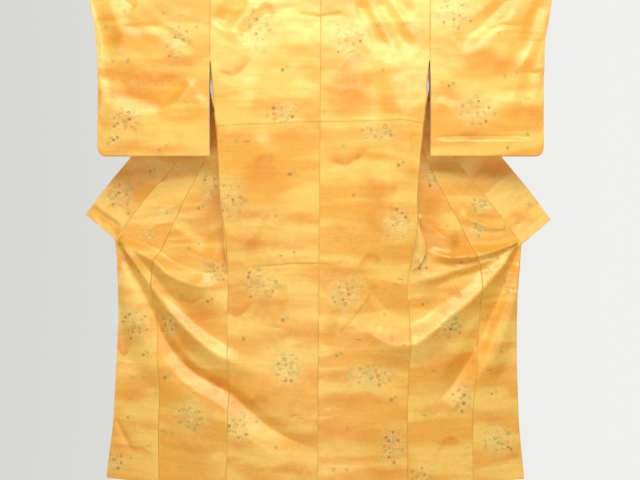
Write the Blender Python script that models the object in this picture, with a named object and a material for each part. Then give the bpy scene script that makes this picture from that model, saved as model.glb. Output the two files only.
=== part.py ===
"""A lined kimono hung over a plain rod, seen from its back, with both fronts opened out to the sides.

The origin is the middle of the rod, on its axis. The rod lies along X, +Z is up, and -Y faces the viewer.
A drop is a distance below the rod's axis, and a reach is a distance from the middle plane, both in metres.
"""

import math

import bmesh
import bpy
import numpy as np

WALL = 0.002
GAP = 0.0003

ROD_RADIUS = 0.0125
ROD_LENGTH = 1.56
ROD_SIDES = 32
# The rows of cloth over the rod, as angles back from the front of the rod
ROD_ROWS = tuple(math.radians(angle) for angle in (90, 60, 30))
# The cloth's outer face over the rod. Between two rows the cloth is straight, and still clears the rod.
SADDLE = (ROD_RADIUS + GAP) / math.cos(ROD_ROWS[-1] / 2) + WALL

LENGTH = 1.546
CORNER_LIFT = 0.014
HEM_REACH = 0.68
SHOULDER_REACH = 0.3387
NECK_REACH = 0.09
ARMHOLE_DROP = 0.215
SIDE_OPENING_END = 0.365
POCKET_END = 0.86
TUCK_DROP = 0.400
TUCK_STEP = 0.0012
KENSAKI_DROP = 0.190
COLLAR_WIDTH = 0.1275
SLEEVE_DROP = 0.507
CUFF_DROP = 0.235
SLEEVE_CORNER = 0.026
SEAM_HALF = WALL + 0.0004

# Over these lengths of drop the tuck's step rises and, lower down, dies away
TUCK_RISE = 0.003
TUCK_FADE = 0.22
TUCK_END = 0.62
# Over this length of drop the opened front comes from the wing into the drape
WING_FADE = 0.16
# The hem begins to curve up at this drop, and over this length of drop
HEM_CURVE_DROP = 1.25
HEM_CURVE_RUN = 0.28

# The middle seam leans a little to the left on its way down
MIDDLE_AT_TOP = 0.003
MIDDLE_LEAN = -0.0072

# drop, the drape's depth behind the rod's axis at the middle, and at the free edges
DRAPE = (
    (0.00, -SADDLE, -SADDLE),
    (0.20, -0.0140, -0.0105),
    (0.40, -0.0120, 0.0060),
    (0.60, -0.0080, 0.0290),
    (0.75, -0.0030, 0.0610),
    (0.87, 0.0030, 0.1160),
    (1.00, 0.0100, 0.1150),
    (1.25, 0.0220, 0.1080),
    (1.56, 0.0350, 0.1000),
)
DRAPE_REACH = 0.66
DRAPE_BEND = 0.20

# reach, depth of the opened front behind the rod's axis
WING = ((0.09, 0.022), (0.30, 0.057), (0.50, 0.091), (0.62, 0.111), (0.70, 0.119), (0.80, 0.123))

# drop, reach of the back's edge on the left and on the right
SIDE_EDGE = (
    (0.215, 0.3370, 0.3360),
    (0.262, 0.3320, 0.3300),
    (0.310, 0.3275, 0.3248),
    (0.365, 0.3235, 0.3216),
    (0.420, 0.3180, 0.3152),
    (0.476, 0.3155, 0.3110),
    (0.577, 0.3125, 0.3041),
    (0.650, 0.3095, 0.3007),
    (0.719, 0.2985, 0.3020),
    (0.771, 0.2935, 0.2970),
    (0.830, 0.2905, 0.2852),
    (0.923, 0.2880, 0.2735),
    (1.018, 0.2925, 0.2830),
    (1.200, 0.2890, 0.2800),
    (1.310, 0.2900, 0.2763),
    (1.520, 0.2970, 0.2776),
)

# drop, reach of the front's own edge at the side opening on the left and on the right
OPENING_EDGE = (
    (0.215, 0.3387, 0.3387),
    (0.250, 0.3390, 0.3385),
    (0.290, 0.3400, 0.3370),
    (0.330, 0.3345, 0.3310),
    (0.365, 0.3262, 0.3243),
)

# drop, reach of the line on which the front turns outwards, left and right
TURN_LINE = (
    (0.00, 0.0900, 0.0900),
    (0.19, 0.1530, 0.1500),
    (0.36, 0.1960, 0.1900),
    (0.50, 0.2280, 0.2220),
    (0.65, 0.2620, 0.2560),
    (0.73, 0.2790, 0.2760),
    (0.79, 0.2870, 0.2850),
    (0.86, 0.2950, 0.2900),
)

# drop, reach of the seam between collar and body, left and right, down to the collar's end
COLLAR_SEAM = (
    (0.000, 0.0900, 0.0900),
    (0.190, 0.2250, 0.2180),
    (0.505, 0.4490, 0.4310),
    (0.582, 0.5180, 0.4940),
    (0.652, 0.5790, 0.5540),
    (0.691, 0.6100, 0.5870),
    (0.763, 0.6655, 0.6405),
    (0.780, 0.6790, 0.6530),
)
COLLAR_END = {-1: 0.763, 1: 0.780}

# drop, reach of the seam between front and overlap, left and right
OKUMI_SEAM = (
    (0.190, 0.2250, 0.2180),
    (0.502, 0.3648, 0.3395),
    (0.578, 0.4010, 0.3720),
    (0.628, 0.4305, 0.4000),
    (0.698, 0.4635, 0.4400),
    (0.733, 0.4800, 0.4580),
    (0.797, 0.5100, 0.4890),
    (0.829, 0.5300, 0.5050),
    (0.861, 0.5370, 0.5165),
    (0.903, 0.5400, 0.5170),
    (1.021, 0.5250, 0.5125),
    (1.150, 0.5200, 0.5050),
    (1.245, 0.5130, 0.4945),
    (1.370, 0.5180, 0.4880),
    (1.530, 0.5160, 0.4900),
)

# drop, reach of the overlap's free edge below the collar, left and right
FREE_EDGE = (
    (0.763, 0.6655, 0.6540),
    (0.830, 0.6586, 0.6490),
    (0.920, 0.6540, 0.6395),
    (0.960, 0.6536, 0.6370),
    (1.155, 0.6590, 0.6363),
    (1.350, 0.6680, 0.6414),
    (1.534, 0.6880, 0.6570),
)

# drop, reach of the sleeve's outer edge, left and right
CUFF_EDGE = (
    (0.000, 0.7100, 0.7140),
    (0.030, 0.7070, 0.7110),
    (0.095, 0.6950, 0.7020),
    (0.150, 0.6880, 0.6920),
    (0.200, 0.6845, 0.6900),
    (0.380, 0.6860, 0.6900),
    (0.507, 0.6870, 0.6910),
)
FURI_REACH = 0.3415

# Folds: the points (x, drop) of the crest, the height towards the viewer, and the half width at the far end.
# A fold starts narrower than it ends, and a negative height is a trough.
FOLD_START_WIDTH = 0.55
DRAPE_FOLDS = (
    (((-0.655, 0.772), (-0.545, 0.810), (-0.430, 0.858), (-0.300, 0.905)), 0.014, 0.030),
    (((-0.650, 0.790), (-0.566, 0.862), (-0.436, 1.020), (-0.300, 1.128), (-0.172, 1.120)), 0.020, 0.042),
    (((-0.655, 0.800), (-0.572, 0.960), (-0.486, 1.155), (-0.370, 1.245), (-0.235, 1.325), (-0.020, 1.430)),
     0.022, 0.046),
    (((-0.640, 0.800), (-0.540, 0.900), (-0.400, 1.080), (-0.240, 1.200), (-0.100, 1.260)), -0.012, 0.038),
    (((0.655, 0.780), (0.520, 0.815), (0.475, 0.828)), -0.010, 0.018),
    (((0.650, 0.785), (0.590, 0.850), (0.520, 0.910), (0.460, 0.955)), -0.009, 0.022),
    (((0.650, 0.785), (0.528, 0.875), (0.366, 0.990), (0.256, 1.010), (0.160, 0.910)), 0.018, 0.036),
    (((0.648, 0.790), (0.596, 0.920), (0.490, 1.120), (0.392, 1.268), (0.285, 1.345)), 0.022, 0.038),
    (((0.625, 0.830), (0.540, 0.975), (0.430, 1.130), (0.300, 1.240)), -0.012, 0.036),
    (((0.655, 0.800), (0.640, 1.000), (0.585, 1.220), (0.480, 1.400)), 0.010, 0.040),
)
BACK_FOLDS = (
    (((-0.236, 0.010), (-0.275, 0.065), (-0.315, 0.110)), -0.006, 0.018),
    (((-0.155, 0.040), (-0.209, 0.107), (-0.255, 0.150)), -0.006, 0.020),
    (((-0.138, 0.130), (-0.166, 0.335), (-0.200, 0.520)), 0.007, 0.040),
    (((0.120, 0.030), (0.150, 0.095), (0.181, 0.158), (0.215, 0.215)), -0.006, 0.018),
    (((0.190, 0.015), (0.242, 0.130), (0.300, 0.200)), -0.006, 0.020),
    (((0.150, 0.180), (0.195, 0.290), (0.222, 0.450)), 0.007, 0.040),
)
# Folds of a sleeve's front layer: the same, with reach in place of x
SLEEVE_FOLDS = {
    -1: (
        (((0.700, 0.090), (0.650, 0.235), (0.570, 0.320), (0.470, 0.300), (0.405, 0.235), (0.355, 0.140)),
         -0.007, 0.026),
        (((0.600, 0.020), (0.530, 0.098), (0.365, 0.141)), -0.005, 0.020),
    ),
    1: (
        (((0.600, 0.020), (0.504, 0.098), (0.400, 0.165)), -0.006, 0.020),
        (((0.680, 0.040), (0.645, 0.125), (0.620, 0.180), (0.550, 0.235)), -0.006, 0.020),
        (((0.695, 0.150), (0.653, 0.240), (0.620, 0.330)), -0.005, 0.020),
    ),
}

# The rows of cloth that the back, front and overlap share, as drops
ROWS = (
    0.000, 0.030, 0.065, 0.110, 0.160, 0.215, 0.250, 0.290, 0.330, 0.350, 0.365, 0.3985, 0.4015, 0.450,
    0.500, 0.550, 0.600, 0.650, 0.700, 0.740, 0.763, 0.780, 0.820, 0.860, 0.900, 0.940, 0.980, 1.020, 1.060,
    1.100, 1.145, 1.190, 1.240, 1.290, 1.345, 1.410, 1.475, LENGTH,
)

# Colours of the cloth, the lining and the rod
SILK = (0.90, 0.55, 0.16)
LINING = (0.86, 0.80, 0.80)
VARNISHED_WOOD = (0.42, 0.27, 0.15)


def smooth(table, column, at):
    """The column's value at each place, on a smooth line through the rows that never overshoots them."""
    table = np.array(table, float)
    places, values = table[:, 0], table[:, column]
    at = np.clip(np.asarray(at, float), places[0], places[-1])
    slopes = np.diff(values) / np.diff(places)
    turns = np.concatenate([slopes[:1], np.zeros(len(slopes) - 1), slopes[-1:]])
    for i in range(1, len(slopes)):
        if slopes[i - 1] * slopes[i] > 0:
            turns[i] = 2 / (1 / slopes[i - 1] + 1 / slopes[i])
    i = np.clip(np.searchsorted(places, at) - 1, 0, len(slopes) - 1)
    step = places[i + 1] - places[i]
    t = (at - places[i]) / step
    start, end = values[i], values[i + 1]
    rise = (end - start) * t * t * (3 - 2 * t)
    return start + rise + step * t * (1 - t) * ((1 - t) * turns[i] - t * turns[i + 1])


def ease(value):
    """0 below 0, 1 above 1, and a soft ramp between."""
    t = np.clip(value, 0, 1)
    return t * t * (3 - 2 * t)


def column(side):
    """The column of a two-sided table that holds this side."""
    return 1 if side < 0 else 2


def crest(path, count=28):
    """Points along a smooth line through a fold's points."""
    path = np.array(path, float)
    along = np.concatenate([[0], np.cumsum(np.linalg.norm(np.diff(path, axis=0), axis=1))])
    table = np.column_stack([along / along[-1], path])
    places = np.linspace(0, 1, count)
    return np.column_stack([smooth(table, 1, places), smooth(table, 2, places)])


def relief(folds, x, drop):
    """How far the folds bring the cloth towards the viewer at each place."""
    x, drop = np.broadcast_arrays(x, drop)
    total = np.zeros(x.shape)
    for path, height, half_width in folds:
        line = crest(path)
        away = (x[..., None] - line[:, 0]) ** 2 + (drop[..., None] - line[:, 1]) ** 2
        along = away.argmin(axis=-1) / (len(line) - 1)
        ends = ease(along / 0.25) * ease((1 - along) / 0.25)
        width = half_width * (FOLD_START_WIDTH + (1 - FOLD_START_WIDTH) * along)
        total += height * ends * np.exp(-away.min(axis=-1) / width**2)
    return total


def drape_depth(x, drop):
    """Depth of the smooth drape: flat at the rod, and drawn back at both sides lower down."""
    reach = np.abs(x)
    middle, edge = smooth(DRAPE, 1, drop), smooth(DRAPE, 2, drop)
    bow = np.sqrt(reach**2 + DRAPE_BEND**2) - DRAPE_BEND
    full = math.sqrt(DRAPE_REACH**2 + DRAPE_BEND**2) - DRAPE_BEND
    return middle + (edge - middle) * bow / full


def back_depth(x, drop):
    """Depth of the back's outer face, with its folds and the tuck seam's step."""
    step = TUCK_STEP * ease((drop - TUCK_DROP) / TUCK_RISE) * ease((TUCK_END - drop) / TUCK_FADE)
    folds = relief(DRAPE_FOLDS, x, drop) + relief(BACK_FOLDS, x, drop) * ease(drop / 0.05)
    return drape_depth(x, drop) + step - folds


def opened_depth(x, drop):
    """Depth of the opened front, overlap and collar: the tilted wing above, the drape below."""
    wing = smooth(WING, 1, np.abs(x))
    low = np.maximum(drop, POCKET_END)
    joined = wing + (drape_depth(x, low) - wing) * ease((drop - POCKET_END + WING_FADE) / WING_FADE)
    return joined - relief(DRAPE_FOLDS, x, drop)


def height_of(x, drop):
    """The height of a row at x: the hem rises a little towards its corners."""
    lift = CORNER_LIFT * (np.abs(x) / HEM_REACH) ** 4 * ease((drop - HEM_CURVE_DROP) / HEM_CURVE_RUN)
    return -(drop - lift)


def middle_x(drop):
    return MIDDLE_AT_TOP + MIDDLE_LEAN * drop


def side_reach(side, drop):
    """Reach of the back's edge: straight beside the armhole, then the side seam."""
    return np.where(drop < ARMHOLE_DROP, SHOULDER_REACH, smooth(SIDE_EDGE, column(side), drop))


def over_rod(angle):
    """Depth, height and inward direction on the saddle, by the angle back from the rod's front."""
    return -SADDLE * np.cos(angle), SADDLE * np.sin(angle), np.cos(angle), -np.sin(angle)


def material(name, colour, roughness):
    made = bpy.data.materials.new(name)
    made.use_nodes = True
    shader = made.node_tree.nodes["Principled BSDF"]
    shader.inputs["Base Color"].default_value = (*colour, 1)
    shader.inputs["Roughness"].default_value = roughness
    return made


def finish(name, shell, surface):
    """The finished mesh as an object of the part."""
    bmesh.ops.recalc_face_normals(shell, faces=shell.faces)
    if shell.calc_volume(signed=True) < 0:
        bmesh.ops.reverse_faces(shell, faces=shell.faces)
    mesh = bpy.data.meshes.new(name)
    shell.to_mesh(mesh)
    shell.free()
    mesh.materials.append(surface)
    mesh.shade_smooth()
    mesh.set_sharp_from_angle(angle=math.radians(50))
    made = bpy.data.objects.new(name, mesh)
    bpy.data.collections["kimono"].objects.link(made)
    return made


def cloth(name, across, down, lay, surface, wall=WALL, closed=False, notch=(0, 0)):
    """A cloth wall. lay(i, j) takes each point's column and row number, and gives the outer face's
    points and the directions in which the wall has its thickness. A closed wall's last row is its first.
    A notch leaves out that many columns and rows at the first corner."""
    shell = bmesh.new()
    bmesh.ops.create_grid(shell, x_segments=across, y_segments=down, size=0.5)
    bmesh.ops.translate(shell, verts=shell.verts, vec=(0.5, 0.5, 0))
    bmesh.ops.scale(shell, verts=shell.verts, vec=(across, down, 1))
    if closed:
        first = {round(v.co.x): v for v in shell.verts if round(v.co.y) == 0}
        last = [v for v in shell.verts if round(v.co.y) == down]
        bmesh.ops.weld_verts(shell, targetmap={v: first[round(v.co.x)] for v in last})
    cut = [f for f in shell.faces
           if f.calc_center_median().x < notch[0] and f.calc_center_median().y < notch[1]]
    bmesh.ops.delete(shell, geom=cut, context="FACES")
    thick = bmesh.ops.extrude_face_region(shell, geom=shell.faces[:])
    inner = {part for part in thick["geom"] if isinstance(part, bmesh.types.BMVert)}
    verts = list(shell.verts)
    place = np.rint([(v.co.x, v.co.y) for v in verts]).astype(int)
    points, inward = lay(place[:, 0], place[:, 1])
    inward = inward / np.linalg.norm(inward, axis=1)[:, None]
    for vert, point, direction in zip(verts, points, inward):
        vert.co = point + wall * direction if vert in inner else point
    return finish(name, shell, surface)


# The back's columns, as shares of its width: two beside the neck, and the rest along the shoulder
NECK_COLUMNS = 2
SHOULDER_COLUMNS = 7
BACK_SHARES = np.concatenate([
    np.linspace(0, NECK_REACH / SHOULDER_REACH, NECK_COLUMNS + 1),
    np.linspace(NECK_REACH / SHOULDER_REACH, 1, SHOULDER_COLUMNS + 1)[1:],
])


def back(name, side, surface):
    """One back width, from the top of the rod to the hem, with the neckline's notch in front of the rod."""

    def lay(i, j):
        row = j - len(ROD_ROWS)
        drop = np.array(ROWS)[np.maximum(row, 0)]
        middle = middle_x(drop) + side * GAP / 2
        x = middle + (side * side_reach(side, drop) - middle) * BACK_SHARES[i]
        depth, height, inward_y, inward_z = over_rod(np.array(ROD_ROWS)[np.clip(j, 0, len(ROD_ROWS) - 1)])
        hung = row >= 0
        y = np.where(hung, back_depth(x, drop), depth)
        z = np.where(hung, height_of(x, drop), height)
        inward = np.column_stack([0 * x, np.where(hung, 1, inward_y), np.where(hung, 0, inward_z)])
        return np.column_stack([x, y, z]), inward

    return cloth(name, NECK_COLUMNS + SHOULDER_COLUMNS, len(ROD_ROWS) + len(ROWS) - 1, lay, surface,
                 notch=(NECK_COLUMNS, len(ROD_ROWS)))


# The front's cut across: segments round the side seam, on the hung layer, round the turn, on the opened layer
SEAM_SEGMENTS = 2
HUNG_SEGMENTS = 5
TURN_SEGMENTS = 4
OPENED_SEGMENTS = 7
PACKED_SEGMENTS = SEAM_SEGMENTS + HUNG_SEGMENTS + TURN_SEGMENTS
FRONT_COLUMNS = PACKED_SEGMENTS + OPENED_SEGMENTS
# The spacing of the columns at the pocket's end, the drop in which they spread evenly, and the turn's radius
PACKED_STEP = 0.003
PACKED_FADE = 0.18
TURN_RADIUS = 0.010
# reach and depth from the back's edge of the three points round the side seam, and their inward directions
SEAM_CURL = ((0.0027, 0.0004, -1.0, 0.0), (0.0018, 0.0040, -0.7, -0.7), (-0.0020, 0.0054, 0.0, -1.0))
# drop, depth of the hung layer's edge at the armhole and the side opening
HUNG_EDGE = ((0.00, SADDLE), (0.10, 0.0147), (0.215, 0.0120), (0.25, 0.0085), (0.30, 0.0050),
             (0.365, -0.0005))


def front_section(side, drop):
    """One level of the front as rows of reach, depth and inward direction, from the side seam outwards."""
    edge = float(side_reach(side, drop))
    outer = float(smooth(OKUMI_SEAM, column(side), drop))
    if drop < KENSAKI_DROP:
        outer = float(smooth(COLLAR_SEAM, column(side), drop))
    outer -= GAP / 2
    if drop > POCKET_END - 0.001:
        edge += GAP
        near = edge + np.arange(PACKED_SEGMENTS) * PACKED_STEP
        rest = np.linspace(near[-1] + PACKED_STEP, outer, OPENED_SEGMENTS + 1)
        packed = np.concatenate([near, rest])
        spread = np.linspace(edge, outer, FRONT_COLUMNS + 1)
        reach = packed + (spread - packed) * ease((drop - POCKET_END) / PACKED_FADE)
        depth = opened_depth(side * reach, drop)
        return np.column_stack([reach, depth, 0 * reach, 0 * reach + 1])
    turn = float(smooth(TURN_LINE, column(side), drop))
    opened = float(opened_depth(side * turn, drop))
    if drop < SIDE_OPENING_END - 0.001:
        edge = SHOULDER_REACH
        if drop > ARMHOLE_DROP:
            edge = float(smooth(OPENING_EDGE, column(side), drop))
        seam_depth = float(smooth(HUNG_EDGE, 1, drop))
        start = [(edge - WALL * i, seam_depth, 0.0, -1.0) for i in range(SEAM_SEGMENTS + 1)]
    else:
        back_face = float(back_depth(side * edge, drop))
        seam_depth = back_face + SEAM_CURL[-1][1]
        start = [(edge + out, back_face + deep, a, b) for out, deep, a, b in SEAM_CURL]
    radius = min(TURN_RADIUS, (opened - seam_depth) / 2)
    turn = min(turn, start[-1][0] - WALL)
    centre = turn + radius
    hung = []
    for i in range(1, HUNG_SEGMENTS + 1):
        share = i / HUNG_SEGMENTS
        reach = start[-1][0] + (max(centre, turn) - start[-1][0]) * share
        hung.append((reach, seam_depth + (opened - 2 * radius - seam_depth) * ease(share), 0.0, -1.0))
    bend = []
    for i in range(1, TURN_SEGMENTS):
        angle = math.pi * i / TURN_SEGMENTS
        bend.append((centre - radius * math.sin(angle), opened - radius - radius * math.cos(angle),
                     -math.sin(angle), -math.cos(angle)))
    reach = np.linspace(centre, outer, OPENED_SEGMENTS + 1)
    laid = np.column_stack([reach, opened_depth(side * reach, drop), 0 * reach, 0 * reach + 1])
    return np.vstack([start, hung, bend, laid])


def front(name, side, surface):
    """One front width: over the rod behind the back, turned outwards, and down to the hem."""
    sections = {drop: front_section(side, drop) for drop in ROWS}
    flat = np.linspace(SHOULDER_REACH, NECK_REACH, FRONT_COLUMNS + 1)

    def lay(i, j):
        points = np.zeros((len(i), 3))
        inward = np.zeros((len(i), 3))
        for n, (column_number, row) in enumerate(zip(i, j)):
            if row < len(ROD_ROWS):
                depth, height, inward_y, inward_z = over_rod(math.pi - ROD_ROWS[row])
                points[n] = side * flat[column_number], depth, height
                inward[n] = 0, inward_y, inward_z
                continue
            drop = ROWS[row - len(ROD_ROWS)]
            if drop == 0:
                points[n] = side * flat[column_number], SADDLE, 0
                inward[n] = 0, -1, 0
                continue
            reach, depth, inward_x, inward_y = sections[drop][column_number]
            x = side * reach
            points[n] = x, depth, float(height_of(x, drop))
            inward[n] = side * inward_x, inward_y, 0
        return points, inward

    return cloth(name, FRONT_COLUMNS, len(ROD_ROWS) + len(ROWS) - 1, lay, surface)


OKUMI_COLUMNS = 5


def okumi(name, side, surface):
    """The narrow overlap panel, from its point on the collar seam to the hem."""
    drops = np.array([drop for drop in ROWS if drop > KENSAKI_DROP])

    def lay(i, j):
        drop = drops[j]
        inner = smooth(OKUMI_SEAM, column(side), drop) + GAP / 2
        collar_side = smooth(COLLAR_SEAM, column(side), drop) - GAP
        free = smooth(FREE_EDGE, column(side), drop)
        outer = np.where(drop <= COLLAR_END[side], collar_side, free)
        x = side * (inner + (outer - inner) * i / OKUMI_COLUMNS)
        points = np.column_stack([x, opened_depth(x, drop), height_of(x, drop)])
        return points, np.tile([0.0, 1.0, 0.0], (len(x), 1))

    return cloth(name, OKUMI_COLUMNS, len(drops) - 1, lay, surface)


# The collar at the neck: reach, the angle back from the top of the saddle, and the sideways lean of its width
NECK_PATH = (
    (0.0000, -88, 0.00),
    (0.0400, -88, 0.00),
    (0.0680, -84, 0.03),
    (0.0800, -60, 0.10),
    (0.0850, -25, 0.18),
    (0.0865, 12, 0.28),
    (0.0870, 50, 0.38),
    (0.0875, 88, 0.50),
)
# The backward lean of the standing collar at its middle, and how much more it leans past the turn of the neck
STAND_LEAN = 0.12
STAND_LEAN_MORE = 0.10
STAND_TURN_REACH = 0.06
STAND_TURN_RUN = 0.02
# The width's direction (reach, depth, height) where the collar leaves the rod, and where it is spread
LEAVING_WIDTH = (0.52, 0.22, 0.85)
SPREAD_WIDTH = (0.765, 0.13, 0.643)
SPREAD_RUN = 0.20
# The drop at which the collar starts to lie on the wing, and the drop that this takes
LAID_DROP = 0.05
LAID_RUN = 0.15
COLLAR_COLUMNS = 4


def collar_path(side):
    """One half of the collar's seam from the middle of the neck: rows of point and width direction."""
    rows = []
    for reach, angle, lean in NECK_PATH:
        turn = math.radians(angle)
        away = SADDLE + GAP
        point = (side * reach, away * math.sin(turn), away * math.cos(turn))
        back_lean = STAND_LEAN + STAND_LEAN_MORE * ease((reach - STAND_TURN_REACH) / STAND_TURN_RUN)
        rows.append((point, (side * lean, back_lean, 1.0)))
    mirror = np.array([side, 1, 1])
    for drop in [drop for drop in ROWS if 0 < drop <= COLLAR_END[side]]:
        reach = float(smooth(COLLAR_SEAM, column(side), drop)) + GAP
        leaving, spread = np.array(LEAVING_WIDTH) * mirror, np.array(SPREAD_WIDTH) * mirror
        width = leaving + (spread - leaving) * ease(drop / SPREAD_RUN)
        rows.append(((side * reach, float(opened_depth(side * reach, drop)), -drop), width))
    return rows


def collar(name, surface):
    """The opened collar, one band from end to end: standing at the neck, spread on both fronts."""
    left, right = collar_path(-1), collar_path(1)
    rows = left[::-1] + right[1:]
    points = np.array([point for point, width in rows])
    widths = np.array([width for point, width in rows], float)
    widths *= COLLAR_WIDTH / np.linalg.norm(widths, axis=1)[:, None]
    along = np.gradient(points, axis=0)

    def lay(i, j):
        share = (i / COLLAR_COLUMNS)[:, None]
        laid = points[j] + widths[j] * share
        drop = -points[j][:, 2]
        spread = ease((drop - LAID_DROP) / LAID_RUN)
        laid[:, 1] += (opened_depth(laid[:, 0], np.maximum(-laid[:, 2], 0)) - laid[:, 1]) * spread
        inward = np.cross(widths[j], along[j])
        inward = inward / np.linalg.norm(inward, axis=1)[:, None]
        inward += (np.array([0.0, 1.0, 0.0]) - inward) * spread[:, None]
        return laid, inward

    return cloth(name, COLLAR_COLUMNS, len(rows) - 1, lay, surface)


# The sleeve's columns, as shares of its reach, closest at the round corner
SLEEVE_COLUMNS = (0.0, 0.13, 0.26, 0.39, 0.52, 0.65, 0.78, 0.87, 0.925, 0.950, 0.972, 0.990, 1.0)
# Its rows all round: on the front layer and the rear layer as shares of the drop, and over the rod as angles
FRONT_SHARES = (1.0, 0.996, 0.985, 0.94, 0.86, 0.77, 0.68, 0.59, 0.50, 0.42, 0.33, 0.24, 0.16, 0.08, 0.0)
REAR_SHARES = (0.0, 0.12, 0.28, 0.44, 0.60, 0.76, 0.90, 0.985, 0.996)
ROD_ANGLES = tuple(math.radians(angle) for angle in (30, 60, 90, 120, 150))
SLEEVE_STATIONS = (
    tuple((-1, share) for share in FRONT_SHARES)
    + tuple((0, angle) for angle in ROD_ANGLES)
    + tuple((1, share) for share in REAR_SHARES)
)
# drop, half the distance between the outer faces of the sleeve's two layers
SLEEVE_HALF = ((0.00, SADDLE), (0.20, 0.0125), (0.40, 0.0080), (0.52, 0.0045))
# The lengths over which a sleeve's layers come together below the cuff and round at the bottom,
# over which its folds die away at the bottom, cuff and rod, and the share of them that the rear layer has
CUFF_CLOSING = 0.03
CUFF_CLOSING_REACH = 0.06
BOTTOM_ROUND = 0.008
FOLD_ENDS = (0.06, 0.03, 0.04)
REAR_FOLDS = 0.5
SLEEVE_TILT = 0.002
FURI_RUN = 0.10


def sleeve_point(side, reach_share, layer, value):
    """One point of a sleeve's outer face and its inward direction. The layer is -1 in front, 1 at the rear
    and 0 over the rod, and the value is a share of the drop or, over the rod, an angle."""
    low_reach = float(smooth(CUFF_EDGE, column(side), SLEEVE_DROP))
    across = FURI_REACH + (low_reach - FURI_REACH) * reach_share
    past = float(np.clip(across - (low_reach - SLEEVE_CORNER), 0, SLEEVE_CORNER))
    bottom = SLEEVE_DROP - SLEEVE_CORNER + math.sqrt(max(0.0, SLEEVE_CORNER**2 - past**2))
    drop = bottom * value if layer else 0.0
    outer = float(smooth(CUFF_EDGE, column(side), drop))
    inner = SHOULDER_REACH + GAP
    inner += (FURI_REACH - SHOULDER_REACH) * float(ease((drop - ARMHOLE_DROP) / FURI_RUN))
    reach = inner + (outer - inner) * reach_share
    if layer == 0:
        depth, height, inward_y, inward_z = over_rod(value)
        return (side * reach, depth, height), (0.0, inward_y, inward_z)
    half = float(smooth(SLEEVE_HALF, 1, drop))
    joined = float(ease((drop - CUFF_DROP) / CUFF_CLOSING) * ease((reach - outer) / CUFF_CLOSING_REACH + 1))
    half += (SEAM_HALF - half) * joined
    turn = float(np.clip((drop - bottom) / BOTTOM_ROUND + 1, 0, 1))
    at_bottom, at_cuff, at_rod = FOLD_ENDS
    fade = float(ease((bottom - drop) / at_bottom) * ease((outer - reach) / at_cuff) * ease(drop / at_rod))
    folds = float(relief(SLEEVE_FOLDS[side], reach, drop)) * fade * (1 if layer < 0 else REAR_FOLDS)
    depth = layer * half * math.sqrt(1 - turn * turn) - folds + SLEEVE_TILT * drop
    return (side * reach, depth, -drop), (0.0, -layer * (1 - turn), turn)


def sleeve(name, side, surface):
    """One sleeve: a tube over the rod, open at the cuff and the inner edge, and joined below the cuff."""

    def lay(i, j):
        made = [sleeve_point(side, SLEEVE_COLUMNS[a], *SLEEVE_STATIONS[b]) for a, b in zip(i, j)]
        return np.array([point for point, _ in made]), np.array([inward for _, inward in made])

    return cloth(name, len(SLEEVE_COLUMNS) - 1, len(SLEEVE_STATIONS), lay, surface, closed=True)


LINING_DROPS = (0.222, 0.250, 0.290, 0.330, 0.345)
LINING_WIDTH = 0.030
LINING_WALL = 0.001
LINING_COLUMNS = 2
LINING_SETBACK = 0.0006


def lining(name, side, surface):
    """The lining where the side opening shows it, laid on the hung front layer's inner face."""
    edges = np.array([front_section(side, drop)[0, :2] for drop in LINING_DROPS])

    def lay(i, j):
        reach = edges[j, 0] - LINING_SETBACK - LINING_WIDTH * i / LINING_COLUMNS
        depth = edges[j, 1] - WALL - GAP
        points = np.column_stack([side * reach, depth, -np.array(LINING_DROPS)[j]])
        return points, np.tile([0.0, -1.0, 0.0], (len(i), 1))

    return cloth(name, LINING_COLUMNS, len(LINING_DROPS) - 1, lay, surface, wall=LINING_WALL)


def hanging_rod(surface):
    """The plain round rod along X."""
    bpy.ops.mesh.primitive_cylinder_add(vertices=ROD_SIDES, radius=ROD_RADIUS, depth=ROD_LENGTH,
                                        rotation=(0, math.pi / 2, 0))
    rod = bpy.context.object
    rod.name = "hanging_rod"
    rod.data.name = "hanging_rod"
    for holder in list(rod.users_collection):
        holder.objects.unlink(rod)
    bpy.data.collections["kimono"].objects.link(rod)
    rod.data.materials.append(surface)
    rod.data.shade_smooth()
    rod.data.set_sharp_from_angle(angle=math.radians(40))
    return rod


def clear_scene():
    for thing in list(bpy.data.objects):
        bpy.data.objects.remove(thing, do_unlink=True)


def main():
    clear_scene()
    collection = bpy.data.collections.new("kimono")
    bpy.context.scene.collection.children.link(collection)
    silk = material("silk", SILK, 0.38)
    white = material("lining", LINING, 0.6)
    wood = material("rod_wood", VARNISHED_WOOD, 0.45)
    hanging_rod(wood)
    for side, word in ((-1, "left"), (1, "right")):
        back(f"back_{word}", side, silk)
        front(f"front_{word}", side, silk)
        okumi(f"okumi_{word}", side, silk)
        sleeve(f"sleeve_{word}", side, silk)
        lining(f"lining_{word}", side, white)
    collar("collar", silk)


main()
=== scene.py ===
# %% [markdown]
# # A lined kimono on its rod
# A kimono is sewn from straight lengths of one narrow bolt of silk: two backs, two fronts, two
# overlaps, two sleeves and one long collar. Here it hangs over a rod with its back to us, and the
# fronts are swung out behind it like wings. This lesson dresses the plain solids of the imported part
# in thin cloth: fine grids, soft folds set one by one, a printed satin and a pale lining.

# %% Load the imported part
import math

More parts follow.
